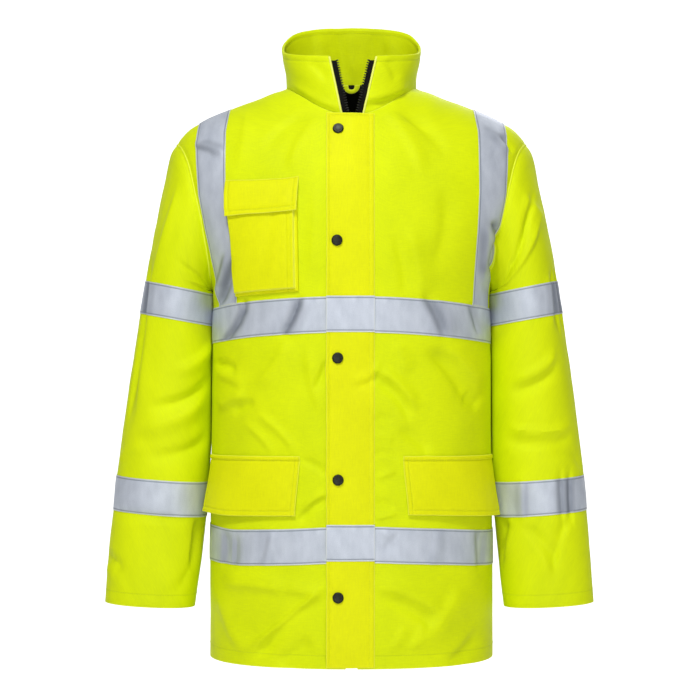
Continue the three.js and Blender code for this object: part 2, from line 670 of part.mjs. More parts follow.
// A piece that lies on a panel: the panel's own points, lifted off it by its inner face's height
function overlay(rows, normals, lift, thick, closed = false, turnedFrom = rows.length) {
  const { points, triangles } = lattice(rows, closed, turnedFrom);
  const flat = normals.flat();
  const low = points.map((point, i) => {
    const height = typeof lift === 'function' ? lift(Math.floor(i / rows[0].length), i % rows[0].length) : lift;
    return point.clone().addScaledVector(flat[i], height);
  });
  const walls = points.map((point, i) => {
    const deep = typeof thick === 'function' ? thick(Math.floor(i / rows[0].length), i % rows[0].length) : thick;
    return low[i].clone().addScaledVector(flat[i], deep);
  });
  return wall(triangles, walls, low);
}

// Part of a half panel, by the names of its rows and its first and last column
function patch(panel, lowRow, highRow, firstColumn, lastColumn) {
  const cut = (grid) => grid.slice(rowIndex(lowRow), rowIndex(highRow) + 1)
    .map((row) => row.slice(firstColumn, lastColumn + 1).map((point) => point.clone()));
  return { rows: cut(panel.rows), normals: cut(panel.normals) };
}

// Draws the four edges of a patch in by a small distance
function trim(rows, by) {
  const pull = (point, next) => point.addScaledVector(next.clone().sub(point).normalize(), by);
  const last = rows.length - 1;
  rows[0].forEach((point, c) => pull(point, rows[1][c]));
  rows[last].forEach((point, c) => pull(point, rows[last - 1][c]));
  rows.forEach((row) => {
    pull(row[0], row[1]);
    pull(row[row.length - 1], row[row.length - 2]);
  });
  return rows;
}

const COLUMN = {
  pocket: CELLS.middle,
  tapeIn: CELLS.middle + CELLS.pocket,
  tapeOut: CELLS.middle + CELLS.pocket + CELLS.tape,
  side: CELLS.middle + CELLS.pocket + CELLS.tape + CELLS.side,
};

// Reflective tapes round the chest and above the hem
const BANDS = [
  { name: 'chest', low: 'chestTapeBottom', high: 'chestTapeTop' },
  { name: 'hem', low: 'hemTapeBottom', high: 'hemTapeTop' },
];
for (const band of BANDS) {
  for (const hand of ['right', 'left']) {
    const { rows, normals } = patch(half[hand].front, band.low, band.high, 0, COLUMN.side);
    add(`${band.name}_tape_${hand}`, overlay(rows, normals, SEAM_GAP, TAPE_THICK), 'silver');
  }
  const joined = joinHalves(rowIndex(band.low), rowIndex(band.high));
  const low = moved(joined.points, joined.normals, SEAM_GAP);
  const high = moved(joined.points, joined.normals, SEAM_GAP + TAPE_THICK);
  add(`${band.name}_tape_back`, wall(joined.triangles, high, low), 'silver');
}

// Tapes over the shoulders, from the front chest tape to the back one
const TAPE_START = 0.06; // share of its first cell that the tape starts above the chest tape
for (const hand of ['right', 'left']) {
  const front = patch(half[hand].front, 'chestTapeTop', 'shoulder', COLUMN.tapeIn, COLUMN.tapeOut);
  const rear = patch(half[hand].back, 'chestTapeTop', 'shoulder', COLUMN.tapeIn, COLUMN.tapeOut);
  const top = front.rows.length - 1;
  [front, rear].forEach(({ rows }) => {
    rows[0].forEach((point, c) => point.lerp(rows[1][c], TAPE_START));
  });
  front.rows[top].forEach((point, c) => point.lerp(rear.rows[top][c], 0.5));
  const rows = [...front.rows, ...rear.rows.slice(0, top).reverse()];
  const normals = [...front.normals, ...rear.normals.slice(0, top).reverse()];
  add(`shoulder_tape_${hand}`, overlay(rows, normals, SEAM_GAP, TAPE_THICK, false, top), 'silver');
}

// Tapes round each sleeve
const SLEEVE_BANDS = [
  { name: 'upper', top: 'upTapeTop', bottom: 'upTapeBottom' },
  { name: 'lower', top: 'lowTapeTop', bottom: 'lowTapeBottom' },
];
const stationIndex = (name) => SLEEVE.findIndex((station) => station.name === name);
for (const hand of ['right', 'left']) {
  const { rings, normals } = sleeves[hand];
  for (const { name, top, bottom } of SLEEVE_BANDS) {
    const from = stationIndex(top);
    const to = stationIndex(bottom);
    const geometry = overlay(rings.slice(from, to + 1), normals.slice(from, to + 1), SEAM_GAP, TAPE_THICK, true);
    add(`sleeve_tape_${name}_${hand}`, geometry, 'silver');
  }
}

// Chest pocket on the wearer's right, its bellows folded under it, and the flap over its mouth
const POCKET_RISE = [8, 8.5, 8.5, 8.5, 8.5, 8, 3.2]; // height of the pocket's face, bottom row first
const POCKET_SIDE = 0.82; // share of that height at the pocket's two sides
const POCKET_TRIM = 1;
const FLAP_TRIM = 0.5;
function chestPatch(lowRow, highRow) {
  return patch(half.right.front, lowRow, highRow, COLUMN.pocket, COLUMN.tapeIn);
}
{
  const { rows, normals } = chestPatch('pocketBottom', 'pocketFlapMiddle');
  trim(rows, POCKET_TRIM);
  const face = (r, c) => POCKET_RISE[r] * (c === 0 || c === CELLS.pocket ? POCKET_SIDE : 1);
  add('chest_pocket', overlay(rows, normals, SEAM_GAP, face), 'yellow');
}
const FLAP_LIFT = [9.2, 5.2, SEAM_GAP]; // under the chest flap, bottom row first
{
  const { rows, normals } = chestPatch('pocketFlapBottom', 'pocketFlapTop');
  trim(rows, FLAP_TRIM);
  const lift = (r) => FLAP_LIFT[r];
  add('chest_pocket_flap', overlay(rows, normals, lift, FLAP_WALL), 'pale');
}

// Lower pocket flaps, raised along the top seam and standing away at the outer corner
const LOW_FLAP = { inner: [3, 1.6, SEAM_GAP], outer: [13, 6, SEAM_GAP], ridge: 1.6 };
for (const hand of ['right', 'left']) {
  const panel = half[hand].front;
  const { rows, normals } = patch(panel, 'lowFlapBottom', 'lowFlapTop', COLUMN.pocket, COLUMN.tapeOut);
  const columns = CELLS.pocket + CELLS.tape;
  const lift = (r, c) => mix(LOW_FLAP.inner[r], LOW_FLAP.outer[r], (c / columns) ** 2);
  const thick = (r) => FLAP_WALL + (r === 2 ? LOW_FLAP.ridge : 0);
  add(`low_pocket_flap_${hand}`, overlay(rows, normals, lift, thick), 'pale');
}

// Storm flap over the zip: rows at the fronts' own heights
const stormColumns = [0, 0.25, 0.5, 0.75, 1];
function stormRow(z) {
  return stormColumns.map((t) => {
    const x = mix(STORM.free, STORM.sewn, t);
    const y = -depthOf('front', Math.abs(x), z);
    return new THREE.Vector3(x, y, z);
  });
}
const stormHeights = [...LOWER_ROWS, ...CHEST_ROWS].map((row) => row.zip);
stormHeights[0] = STORM.bottom;
stormHeights.push(-58, STORM.top);
const stormRows = stormHeights.map(stormRow);
const stormNormals = stormRows.map((row) => row.map((point) => bodyNormal('front', point)));
stormRows.forEach((row, r) => row.forEach((point, c) => {
  point.addScaledVector(stormNormals[r][c], foldAt(FRONT_FOLDS, point.x, point.z));
}));
const stormLift = (r) => (r === stormRows.length - 1 ? STORM.topLift : STORM.lift);
add('storm_flap', overlay(stormRows, stormNormals, stormLift, FLAP_WALL), 'pale');
const onStorm = STORM.lift + FLAP_WALL + SEAM_GAP;
for (const band of BANDS) {
  const low = rowIndex(band.low);
  const high = rowIndex(band.high);
  const rows = stormRows.slice(low, high + 1).map((row) => row.map((point) => point.clone()));
  trim(rows, FLAP_TRIM);
  add(`${band.name}_tape_flap`, overlay(rows, stormNormals.slice(low, high + 1), onStorm, TAPE_THICK), 'silver');
}

// Snap caps down the storm flap, as radius and height shares of the cap's round
const SNAP_ROUND = [[0, 0], [1, 0], [1, 0.375], [0.86, 0.79], [0.5, 1], [0, 1]];
const snapProfile = SNAP_ROUND.map(([r, h]) => new THREE.Vector2(r * SNAP_RADIUS, h * SNAP_HEIGHT));
const SNAP_SIDES = 20;
const onCell = (row, t) => {
  const c = Math.min(Math.floor(t), row.length - 2);
  return row[c].clone().lerp(row[c + 1], t - c);
};
SNAPS.forEach((snap, i) => {
  const across = ((snap.x - STORM.free) / (STORM.sewn - STORM.free)) * (stormColumns.length - 1);
  const r = stormRows.findIndex((row) => row[0].z > snap.z) - 1;
  const [low, high] = [onCell(stormRows[r], across), onCell(stormRows[r + 1], across)];
  const seat = low.clone().lerp(high, (snap.z - low.z) / (high.z - low.z));
  const normal = new THREE.Vector3(1, 0, 0).cross(high.sub(low)).normalize();
  seat.addScaledVector(normal, onStorm + SNAP_CLEAR);
  const mesh = add(`snap_${i + 1}`, new THREE.LatheGeometry(snapProfile, SNAP_SIDES), 'gunmetal');
  mesh.position.copy(seat);
  mesh.quaternion.setFromUnitVectors(new THREE.Vector3(0, 1, 0), normal);
});

// Zip halves: along the slot between the fronts, then up the collar's front edges
const ZIP = { wide: 7.4, thick: 1.5, sink: 0.6 };
for (const hand of ['right', 'left']) {
  const side = SIDES[hand];
  const heights = [...LOWER_ROWS, ...CHEST_ROWS].map((row) => row.zip);
  const path = heights.map((z) => {
    const x = slotEdge(hand, z);
    const edge = new THREE.Vector3(side * x, -depthOf('front', x, z), z);
    return { edge, normal: bodyNormal('front', edge) };
  });
  const column = hand === 'right' ? 0 : collarStops.length - 1;
  collarRows.forEach((row, r) => path.push({ edge: row[column].clone(), normal: collarNormals[r][column] }));
  const rows = path.map(({ edge, normal }) => [SEAM_GAP, SEAM_GAP + ZIP.wide].map((by) => (
    edge.clone().add(new THREE.Vector3(-side * by, 0, 0)).addScaledVector(normal, -ZIP.sink))));
  const normals = path.map(({ normal }) => [normal, normal]);
  const { points, triangles } = lattice(rows);
  add(`zip_${hand}`, wall(triangles, points, moved(points, normals.flat(), -ZIP.thick)), 'black');
}

// Black lining inside the back of the neck, where the open collar shows it
const LINING = { half: 90, wall: 1 };
{
  const sheets = joinHalves(rowIndex('pocketFlapMiddle'), rowIndex('neckFront'));
  const keep = sheets.points.map((point) => Math.abs(point.x) < LINING.half);
  const order = [];
  const index = new Map();
  const triangles = sheets.triangles.filter((face) => face.every((i) => keep[i]));
  triangles.flat().forEach((i) => {
    if (index.has(i)) return;
    index.set(i, order.length);
    order.push(i);
  });
  const points = order.map((i) => sheets.points[i]);
  const normals = order.map((i) => sheets.normals[i]);
  const outer = moved(points, normals, -(BODY_WALL + SEAM_GAP));
  const inner = moved(points, normals, -(BODY_WALL + SEAM_GAP + LINING.wall));
  add('neck_lining', wall(triangles.map((face) => face.map((i) => index.get(i))), outer, inner), 'black');
}

// Hanger loop at the middle of the back neck
const LOOP = { half: 12, drop: 12, wide: 4, thick: 1.2, steps: 10, off: 1.3, rise: 1 };
{
  const neckBack = neckPoint('back', 90);
  const seat = bodyPoint('back', neckBack.x, neckBack.level);
  const y = seat.y - COLLAR_WALL - LOOP.off;
  const rows = [];
  for (let i = 0; i <= LOOP.steps; i += 1) {
    const angle = (i / LOOP.steps) * Math.PI;
    const reach = [1, 1 - LOOP.wide / LOOP.half];
    rows.push(reach.map((share) => new THREE.Vector3(
      LOOP.half * share * Math.cos(angle), y, seat.z + LOOP.rise - LOOP.drop * share * Math.sin(angle))));
  }
  const normals = rows.map((row) => row.map(() => new THREE.Vector3(0, -1, 0)));
  add('hanger_loop', overlay(rows, normals, 0, LOOP.thick), 'yellow');
}

export default jacket;
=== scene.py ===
import math

import bmesh
import bpy
import numpy as np
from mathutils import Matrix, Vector


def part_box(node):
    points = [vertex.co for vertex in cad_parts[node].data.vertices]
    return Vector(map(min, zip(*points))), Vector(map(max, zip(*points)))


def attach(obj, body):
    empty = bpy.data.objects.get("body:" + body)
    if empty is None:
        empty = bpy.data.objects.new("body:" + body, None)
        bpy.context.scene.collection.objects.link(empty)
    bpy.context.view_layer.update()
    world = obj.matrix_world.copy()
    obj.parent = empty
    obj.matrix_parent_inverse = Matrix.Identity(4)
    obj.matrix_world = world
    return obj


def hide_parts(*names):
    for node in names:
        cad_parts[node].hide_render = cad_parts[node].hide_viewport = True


# A hi-vis work jacket, filled out as when worn. Sizes are in millimetres, and MM turns them to metres.
# +X is the wearer's left, the front faces -Y, and z is 0 at the shoulder seams' inner ends.
MM = 0.001

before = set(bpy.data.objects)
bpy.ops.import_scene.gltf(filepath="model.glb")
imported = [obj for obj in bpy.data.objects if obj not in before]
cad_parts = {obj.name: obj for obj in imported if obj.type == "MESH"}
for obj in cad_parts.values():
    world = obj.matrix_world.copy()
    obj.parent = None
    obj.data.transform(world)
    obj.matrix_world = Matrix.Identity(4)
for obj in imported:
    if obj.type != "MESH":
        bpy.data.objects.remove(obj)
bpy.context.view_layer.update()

# Driving sizes of the cloth and trims
TAPE_THICK = 0.7
CLOTH = 1.4
COLLAR_THICK = 4.0
SEAM_GAP = 0.3
SQUARENESS = 2.3
SHOULDER_BASE = -230
LEVEL_STEP = 4.5
SIDES = {"right": -1, "left": 1}

# The body's half width and its depth in front of and behind the side seams, by height
BODY = {
    "z": [-810, -640, -500, -340, -288, -260, -200, -120, 40],
    "half": [204.5, 204, 202.5, 201, 200, 208, 231, 255, 268],
    "front": [151, 150, 149, 150, 150, 150, 150, 150, 150],
    "back": [142, 140, 137, 138, 140, 141, 142, 142, 140],
}
SHOULDER = {
    "x": [0, 60, 95, 114, 135, 160, 182, 203, 220, 236, 254, 275],
    "z": [45, 27, 8, 1.7, -7, -15.7, -24.4, -33, -42, -52, -72, -100],
}
NECK = {"half": 94, "front": 108, "back": 58}
ARMHOLE = {"middle": -176.5, "half": 104.5, "front": 74, "back": 76}

# Named rows of a panel: height at the zip and at the side seam
LOWER_ROWS = {
    "hem": (-810, -810), "skirt_low": (-776, -779), "skirt_middle": (-740, -746), "skirt_high": (-702, -712),
    "hem_tape_bottom": (-663, -677), "hem_tape_top": (-613, -627), "low_flap_bottom": (-596, -606),
    "low_flap_middle": (-556, -562), "low_flap_top": (-516, -519), "waist": (-457, -465), "ribs": (-400, -411),
    "chest_tape_bottom": (-346, -361), "chest_tape_top": (-296, -311), "pocket_bottom": (-288, -302),
}
# then height at the zip and angle down the armhole, and angle round the neck and down the armhole
CHEST_ROWS = {
    "underarm": (-271, 180), "chest_1": (-252, 158), "chest_2": (-230, 136), "chest_3": (-203, 115),
    "pocket_flap_bottom": (-174, 95), "pocket_flap_middle": (-148, 80), "pocket_flap_top": (-123, 66),
    "collarbone": (-80, 54),
}
NECK_ROWS = {
    "neck_front": (90, 44), "neck_1": (71, 35), "neck_2": (53, 26), "neck_3": (36, 17), "neck_4": (18, 8.5),
    "shoulder": (0, 0),
}
ROWS = [*LOWER_ROWS, *CHEST_ROWS, *NECK_ROWS]
ROW = {name: i for i, name in enumerate(ROWS)}

POCKET_LINE = {"z": [-810, -596, -516, -346, -176, -123], "x": [75, 77, 71, 74, 77, 75.5]}
TAPE_LINE = {
    "z": [-810, -500, -346, -296, -215, -150, -60, -20],
    "right": [150, 150, 160, 160.5, 167, 176, 178, 174],
    "left": [150, 152, 170, 170, 175.5, 179, 179, 175],
}
BACK_TAPE_SHIFT = {"z": [-346, -250, -150, -60, -30], "in": [20, 20, 14, 3, 0]}
MARK_WIDTH = {"zip": [-516, -346], "width": [88, 50]}
ZIP_SLOT = {"straight": 8, "right": 12.7, "left": 15.5, "opens_at": -80, "top": -39}

STORM = {"free": -34.5, "sewn": 32, "top": -40, "bottom": -808, "lift": 1.6, "creased": 0.6}

COLLAR = {
    "share": [0, 0.3, 0.65, 1], "half": [94, 94.5, 98.5, 101],
    "front": [108, 108, 104, 99], "back": [58, 62, 67, 71],
}
RIM = {"y": [-99, -75, -50, -25, 0, 25, 45, 71], "z": [43, 47, 52, 58.5, 67.5, 80, 94, 108]}
RIM_SQUARENESS = 2.5
COLLAR_OPENING = {"right": (12.7, 30.5), "left": (15.5, 34.3)}

# Sleeve stations: outer and inner edge seen from the front, depth, how far back, and pull of the armhole seam
SLEEVE = {
    "out_x": [254, 264, 272.5, 282.5, 291, 298.5, 306, 315.5, 323.5, 331, 338.5, 342.5, 347.5, 352.5],
    "out_z": [-72, -92, -133, -180, -225, -270, -317, -375, -433, -492, -550, -600, -658, -732],
    "in_x": [200, 202, 203, 203, 202, 201, 200.5, 200, 200, 201.5, 205, 208.5, 214, 223],
    "in_z": [-281, -283, -284.7, -286, -287.5, -289.5, -336, -394, -450, -505, -560, -610, -666, -739],
    "depth": [150, 154, 159, 163, 165, 165, 162, 156, 149, 140, 131, 123, 115, 105],
    "back": [0, 1, 3, 6, 8, 10, 11, 12, 10, 6, 0, -5, -10, -15],
    "seam": [1, 0.8, 0.5, 0.22, 0.06, 0, 0, 0, 0, 0, 0, 0, 0, 0],
}
STATION = {"up_tape_top": 5, "up_tape_bottom": 6, "low_tape_top": 10, "low_tape_bottom": 11, "cuff": 13}
SLEEVE_CLEAR = 1.2
SLEEVE_LAP = 0.6
# Under the arm the sleeve is drawn to the body: how far off it may be, and the station where that ends.
ARMPIT = {"reach": 9, "from": 4.8}
SLEEVE_LEAN = {"right": 3, "left": -3}
LEAN_FROM = 270
LEAN_OVER = 460
SLEEVE_REACH = 0.93


def smooth(table, key, column, at):
    """Smooth reading between a table's rows."""
    keys, values = np.array(table[key], float), np.array(table[column], float)
    rise = (np.r_[values[1:], values[-1]] - np.r_[values[0], values[:-1]]) / (
        np.r_[keys[1:], keys[-1]] - np.r_[keys[0], keys[:-1]]
    )
    at = np.clip(at, keys[0], keys[-1])
    i = np.clip(np.searchsorted(keys, at, side="right") - 1, 0, len(keys) - 2)
    width = keys[i + 1] - keys[i]
    t = (at - keys[i]) / width
    return (
        values[i] * (2 * t**3 - 3 * t**2 + 1)
        + rise[i] * width * (t**3 - 2 * t**2 + t)
        + values[i + 1] * (3 * t**2 - 2 * t**3)
        + rise[i + 1] * width * (t**3 - t**2)
    )


def mix(a, b, t):
    return a + (b - a) * t


def soft_step(t):
    t = np.clip(t, 0, 1)
    return t * t * (3 - 2 * t)


def unit(v):
    return v / np.maximum(np.linalg.norm(v, axis=-1, keepdims=True), 1e-9)


# The body's surface. face is "front" or "back", and x is measured from the middle.
def closing(x, z):
    top = smooth(SHOULDER, "x", "z", x)
    return np.clip((z - SHOULDER_BASE) / (top - SHOULDER_BASE), 0, 1)


def roundness(x, z):
    across = np.minimum(x / smooth(BODY, "z", "half", z), 1)
    return np.maximum(1 - across**SQUARENESS, 0) ** (1 / SQUARENESS)


def depth_of(face, x, z):
    return smooth(BODY, "z", face, z) * roundness(x, z) * np.sqrt(1 - closing(x, z) ** 2)


def level_of(x, z):
    steps = (z - SHOULDER_BASE) / LEVEL_STEP
    return np.where(z < SHOULDER_BASE, steps, np.degrees(np.arcsin(closing(x, z))))


def height_of(x, level):
    top = smooth(SHOULDER, "x", "z", x)
    rounded = SHOULDER_BASE + (top - SHOULDER_BASE) * np.sin(np.radians(np.clip(level, 0, 90)))
    return np.where(level < 0, SHOULDER_BASE + level * LEVEL_STEP, rounded)


def body_points(face, x, level):
    z = height_of(x, level)
    y = np.maximum(depth_of(face, x, z), SEAM_GAP / 2)
    return np.stack([x, -y if face == "front" else y, z], axis=-1)


def body_normals(face, points):
    """Outward directions, from the gradient of the surface's squared form."""
    side = np.where(points[..., 0] < 0, -1, 1)
    x, y, z = np.abs(points[..., 0]), points[..., 1], points[..., 2]
    step = 0.5

    def value(px, py, pz):
        px = np.abs(px)
        return np.maximum(roundness(px, pz), 1e-5) ** 2 * (1 - closing(px, pz) ** 2) - (
            py / smooth(BODY, "z", face, pz)
        ) ** 2

    px = np.minimum(x, smooth(BODY, "z", "half", z) - step)
    normal = np.stack([
        value(px - step, y, z) - value(px + step, y, z),
        value(x, y - step, z) - value(x, y + step, z),
        value(px, y, z - step) - value(px, y, z + step),
    ], axis=-1)
    normal[..., 0] *= side
    return unit(normal)


def slot_edge(hand, z):
    t = np.clip((z - ZIP_SLOT["opens_at"]) / (ZIP_SLOT["top"] - ZIP_SLOT["opens_at"]), 0, 1)
    return mix(ZIP_SLOT["straight"], ZIP_SLOT[hand], t * t)


def neck_point(face, angle):
    """Distance from the middle and level on the neckline, by the angle round it from the shoulder."""
    x = NECK["half"] * np.cos(np.radians(angle))
    y = np.maximum(NECK[face] * np.sin(np.radians(angle)), SEAM_GAP / 2)
    share = y / (smooth(BODY, "z", face, 0) * roundness(x, np.zeros_like(x)))
    return x, np.degrees(np.arccos(np.minimum(share, 1)))


FIRST_ARMHOLE_ANGLE = 8.5
LAST_ARMHOLE_ANGLE = 158


def armhole_point(face, angle):
    z = ARMHOLE["middle"] + ARMHOLE["half"] * np.cos(np.radians(angle))
    y = np.maximum(ARMHOLE[face] * np.sin(np.radians(angle)), SEAM_GAP / 2)

    def settle(y, z):
        x = np.full_like(z, 225.0)
        for _ in range(12):
            open_share = np.sqrt(np.maximum(1 - closing(x, z) ** 2, 1e-6))
            share = np.minimum(y / (smooth(BODY, "z", face, z) * open_share), 1)
            wide = smooth(BODY, "z", "half", z) * (1 - share**SQUARENESS) ** (1 / SQUARENESS)
            x = mix(x, wide, 0.5)
        return x

    first = np.radians(FIRST_ARMHOLE_ANGLE)
    top = settle(
        np.array([ARMHOLE[face] * np.sin(first)]),
        np.array([ARMHOLE["middle"] + ARMHOLE["half"] * np.cos(first)]),
    )[0]
    x = settle(y, z)
    near_top = angle < FIRST_ARMHOLE_ANGLE
    x = np.where(near_top, mix(SLEEVE["out_x"][0], top, (angle / FIRST_ARMHOLE_ANGLE) ** 2), x)
    bottom = settle(np.array([SEAM_GAP / 2]), np.array([ARMHOLE["middle"] - ARMHOLE["half"]]))[0]
    down = soft_step((angle - LAST_ARMHOLE_ANGLE) / (180 - LAST_ARMHOLE_ANGLE))
    x = x - (bottom - SLEEVE["in_x"][0]) * down
    share = np.clip(y / (smooth(BODY, "z", face, z) * np.maximum(roundness(x, z), 1e-6)), 0, 1)
    level = np.where(near_top, np.degrees(np.arccos(share)), level_of(x, z))
    return x, level


def row_ends(face, hand, t):
    """Both ends of the rows at t, as (distance from the middle, level), and how the level runs between."""
    under, neck = ROW["underarm"], ROW["neck_front"]
    zips = [v[0] for v in [*LOWER_ROWS.values(), *CHEST_ROWS.values()]]
    sides = [v[1] for v in LOWER_ROWS.values()] + [ARMHOLE["middle"] - ARMHOLE["half"]]
    angles = [v[1] for v in [*CHEST_ROWS.values(), *NECK_ROWS.values()]]
    foot = 90.0 if face == "back" else math.degrees(math.acos(COLLAR_OPENING[hand][0] / NECK["half"]))
    turns = [foot] + [v[0] for v in list(NECK_ROWS.values())[1:]]
    index = np.arange(len(ROWS))

    zip_z = np.interp(t, index[:neck], zips)
    round_x, round_level = neck_point(face, np.interp(t, index[neck:], turns))
    to_neck = np.clip(t - (neck - 1), 0, 1)
    level = mix(level_of(0.0, zip_z), round_level, to_neck)
    slot = slot_edge(hand, height_of(0.0, level)) if face == "front" else np.zeros_like(t)
    inner = (np.where(t >= neck, round_x, slot), level)

    side_z = np.interp(t, index[:under + 1], sides)
    tuck = (smooth(BODY, "z", "half", sides[-1]) - SLEEVE["in_x"][0]) * np.clip(t - (under - 1), 0, 1)
    hole_x, hole_level = armhole_point(face, np.interp(t, index[under:], angles))
    outer = (
        np.where(t >= under, hole_x, smooth(BODY, "z", "half", side_z) - tuck),
        np.where(t >= under, hole_level, level_of(0.0, side_z)),
    )
    return inner, outer, mix(2, 1, to_neck), zip_z


DENSE = 240
CREASE_EDGE = 40
# Where the hang of the cloth carries a tape up or down: x, z, half width, half height, shift
SAGS = [(-204, -645, 26, 60, 8), (-80, -640, 60, 70, -2.6), (-150, -325, 40, 40, 1.5), (75, -640, 50, 60, -1)]


def sag(x, z):
    """How far the cloth hangs above or below its plain height."""
    return sum(shift * np.exp(-(((x - at) / wide) ** 2) - ((z - level) / high) ** 2)
               for at, level, wide, high, shift in SAGS)


def panel_grid(face, hand, down, across):
    """Half a front or back: points and outward directions, rows from the hem up, columns from the middle out.
    down is the number of cells between named rows, and across between the panel's lengthwise marks."""
    t = np.concatenate([i + np.arange(n) / n for i, n in enumerate(down)] + [[len(ROWS) - 1.0]])
    inner, outer, power, zip_z = row_ends(face, hand, t)
    share = np.sin(np.linspace(0, np.pi / 2, DENSE + 1))[None, :]
    x = mix(inner[0][:, None], outer[0][:, None], share)
    level = mix(inner[1][:, None], outer[1][:, None], share ** power[:, None])
    fine = body_points(face, x, level)
    lengths = np.concatenate(
        [np.zeros((len(t), 1)), np.cumsum(np.linalg.norm(np.diff(fine, axis=1), axis=-1), axis=1)], axis=1
    )
    total = lengths[:, -1]

    def length_at(line):
        past = fine[..., 0] - line
        i = np.clip(np.argmax(past >= 0, axis=1), 1, DENSE)
        r = np.arange(len(t))
        a, b = past[r, i - 1], past[r, i]
        found = mix(lengths[r, i - 1], lengths[r, i], np.clip(-a / np.where(b - a == 0, 1, b - a), 0, 1))
        return np.where((past >= 0).any(axis=1), found, total)

    z = fine[..., 2]
    shift = np.interp(z, BACK_TAPE_SHIFT["z"], BACK_TAPE_SHIFT["in"]) if face == "back" else 0
    pocket = np.maximum(length_at(smooth(POCKET_LINE, "z", "x", z)), 1)
    tape = length_at(np.interp(z, TAPE_LINE["z"], TAPE_LINE[hand]) - shift)
    to_neck = np.clip(t - ROW["collarbone"], 0, 1)
    pocket = mix(pocket, np.minimum(total * 0.3, tape * 0.45), to_neck)
    wide = np.interp(zip_z, MARK_WIDTH["zip"], MARK_WIDTH["width"])
    marks = [np.zeros(len(t)), pocket, tape, np.minimum(tape + wide, total - 1), total]
    stops = [marks[0]]
    for k, n in enumerate(across):
        stops += [mix(marks[k], marks[k + 1], (i + 1) / n) for i in range(n)]
    stops = np.stack(stops, axis=1)
    cols = stops.shape[1]
    spread = np.empty((len(t), cols, 2))
    for r in range(len(t)):
        spread[r, :, 0] = np.interp(stops[r], lengths[r], x[r])
        spread[r, :, 1] = np.interp(stops[r], lengths[r], level[r])
    points = body_points(face, spread[..., 0], spread[..., 1])
    normals = body_normals(face, points)
    points[..., 0] *= SIDES[hand]
    normals[..., 0] *= SIDES[hand]
    points[..., 2] += sag(points[..., 0], points[..., 2])
    return points, normals


def grid_normals(points, like, closed=False):
    """Directions square to a grid of points, on the side that like points to."""
    if closed:
        along = np.roll(points, -1, axis=1) - np.roll(points, 1, axis=1)
    else:
        along = np.gradient(points, axis=1)
    up = np.gradient(points, axis=0)
    normal = unit(np.cross(along, up))
    facing = (normal * like).sum(axis=-1, keepdims=True)
    return np.where(facing < 0, -normal, normal)


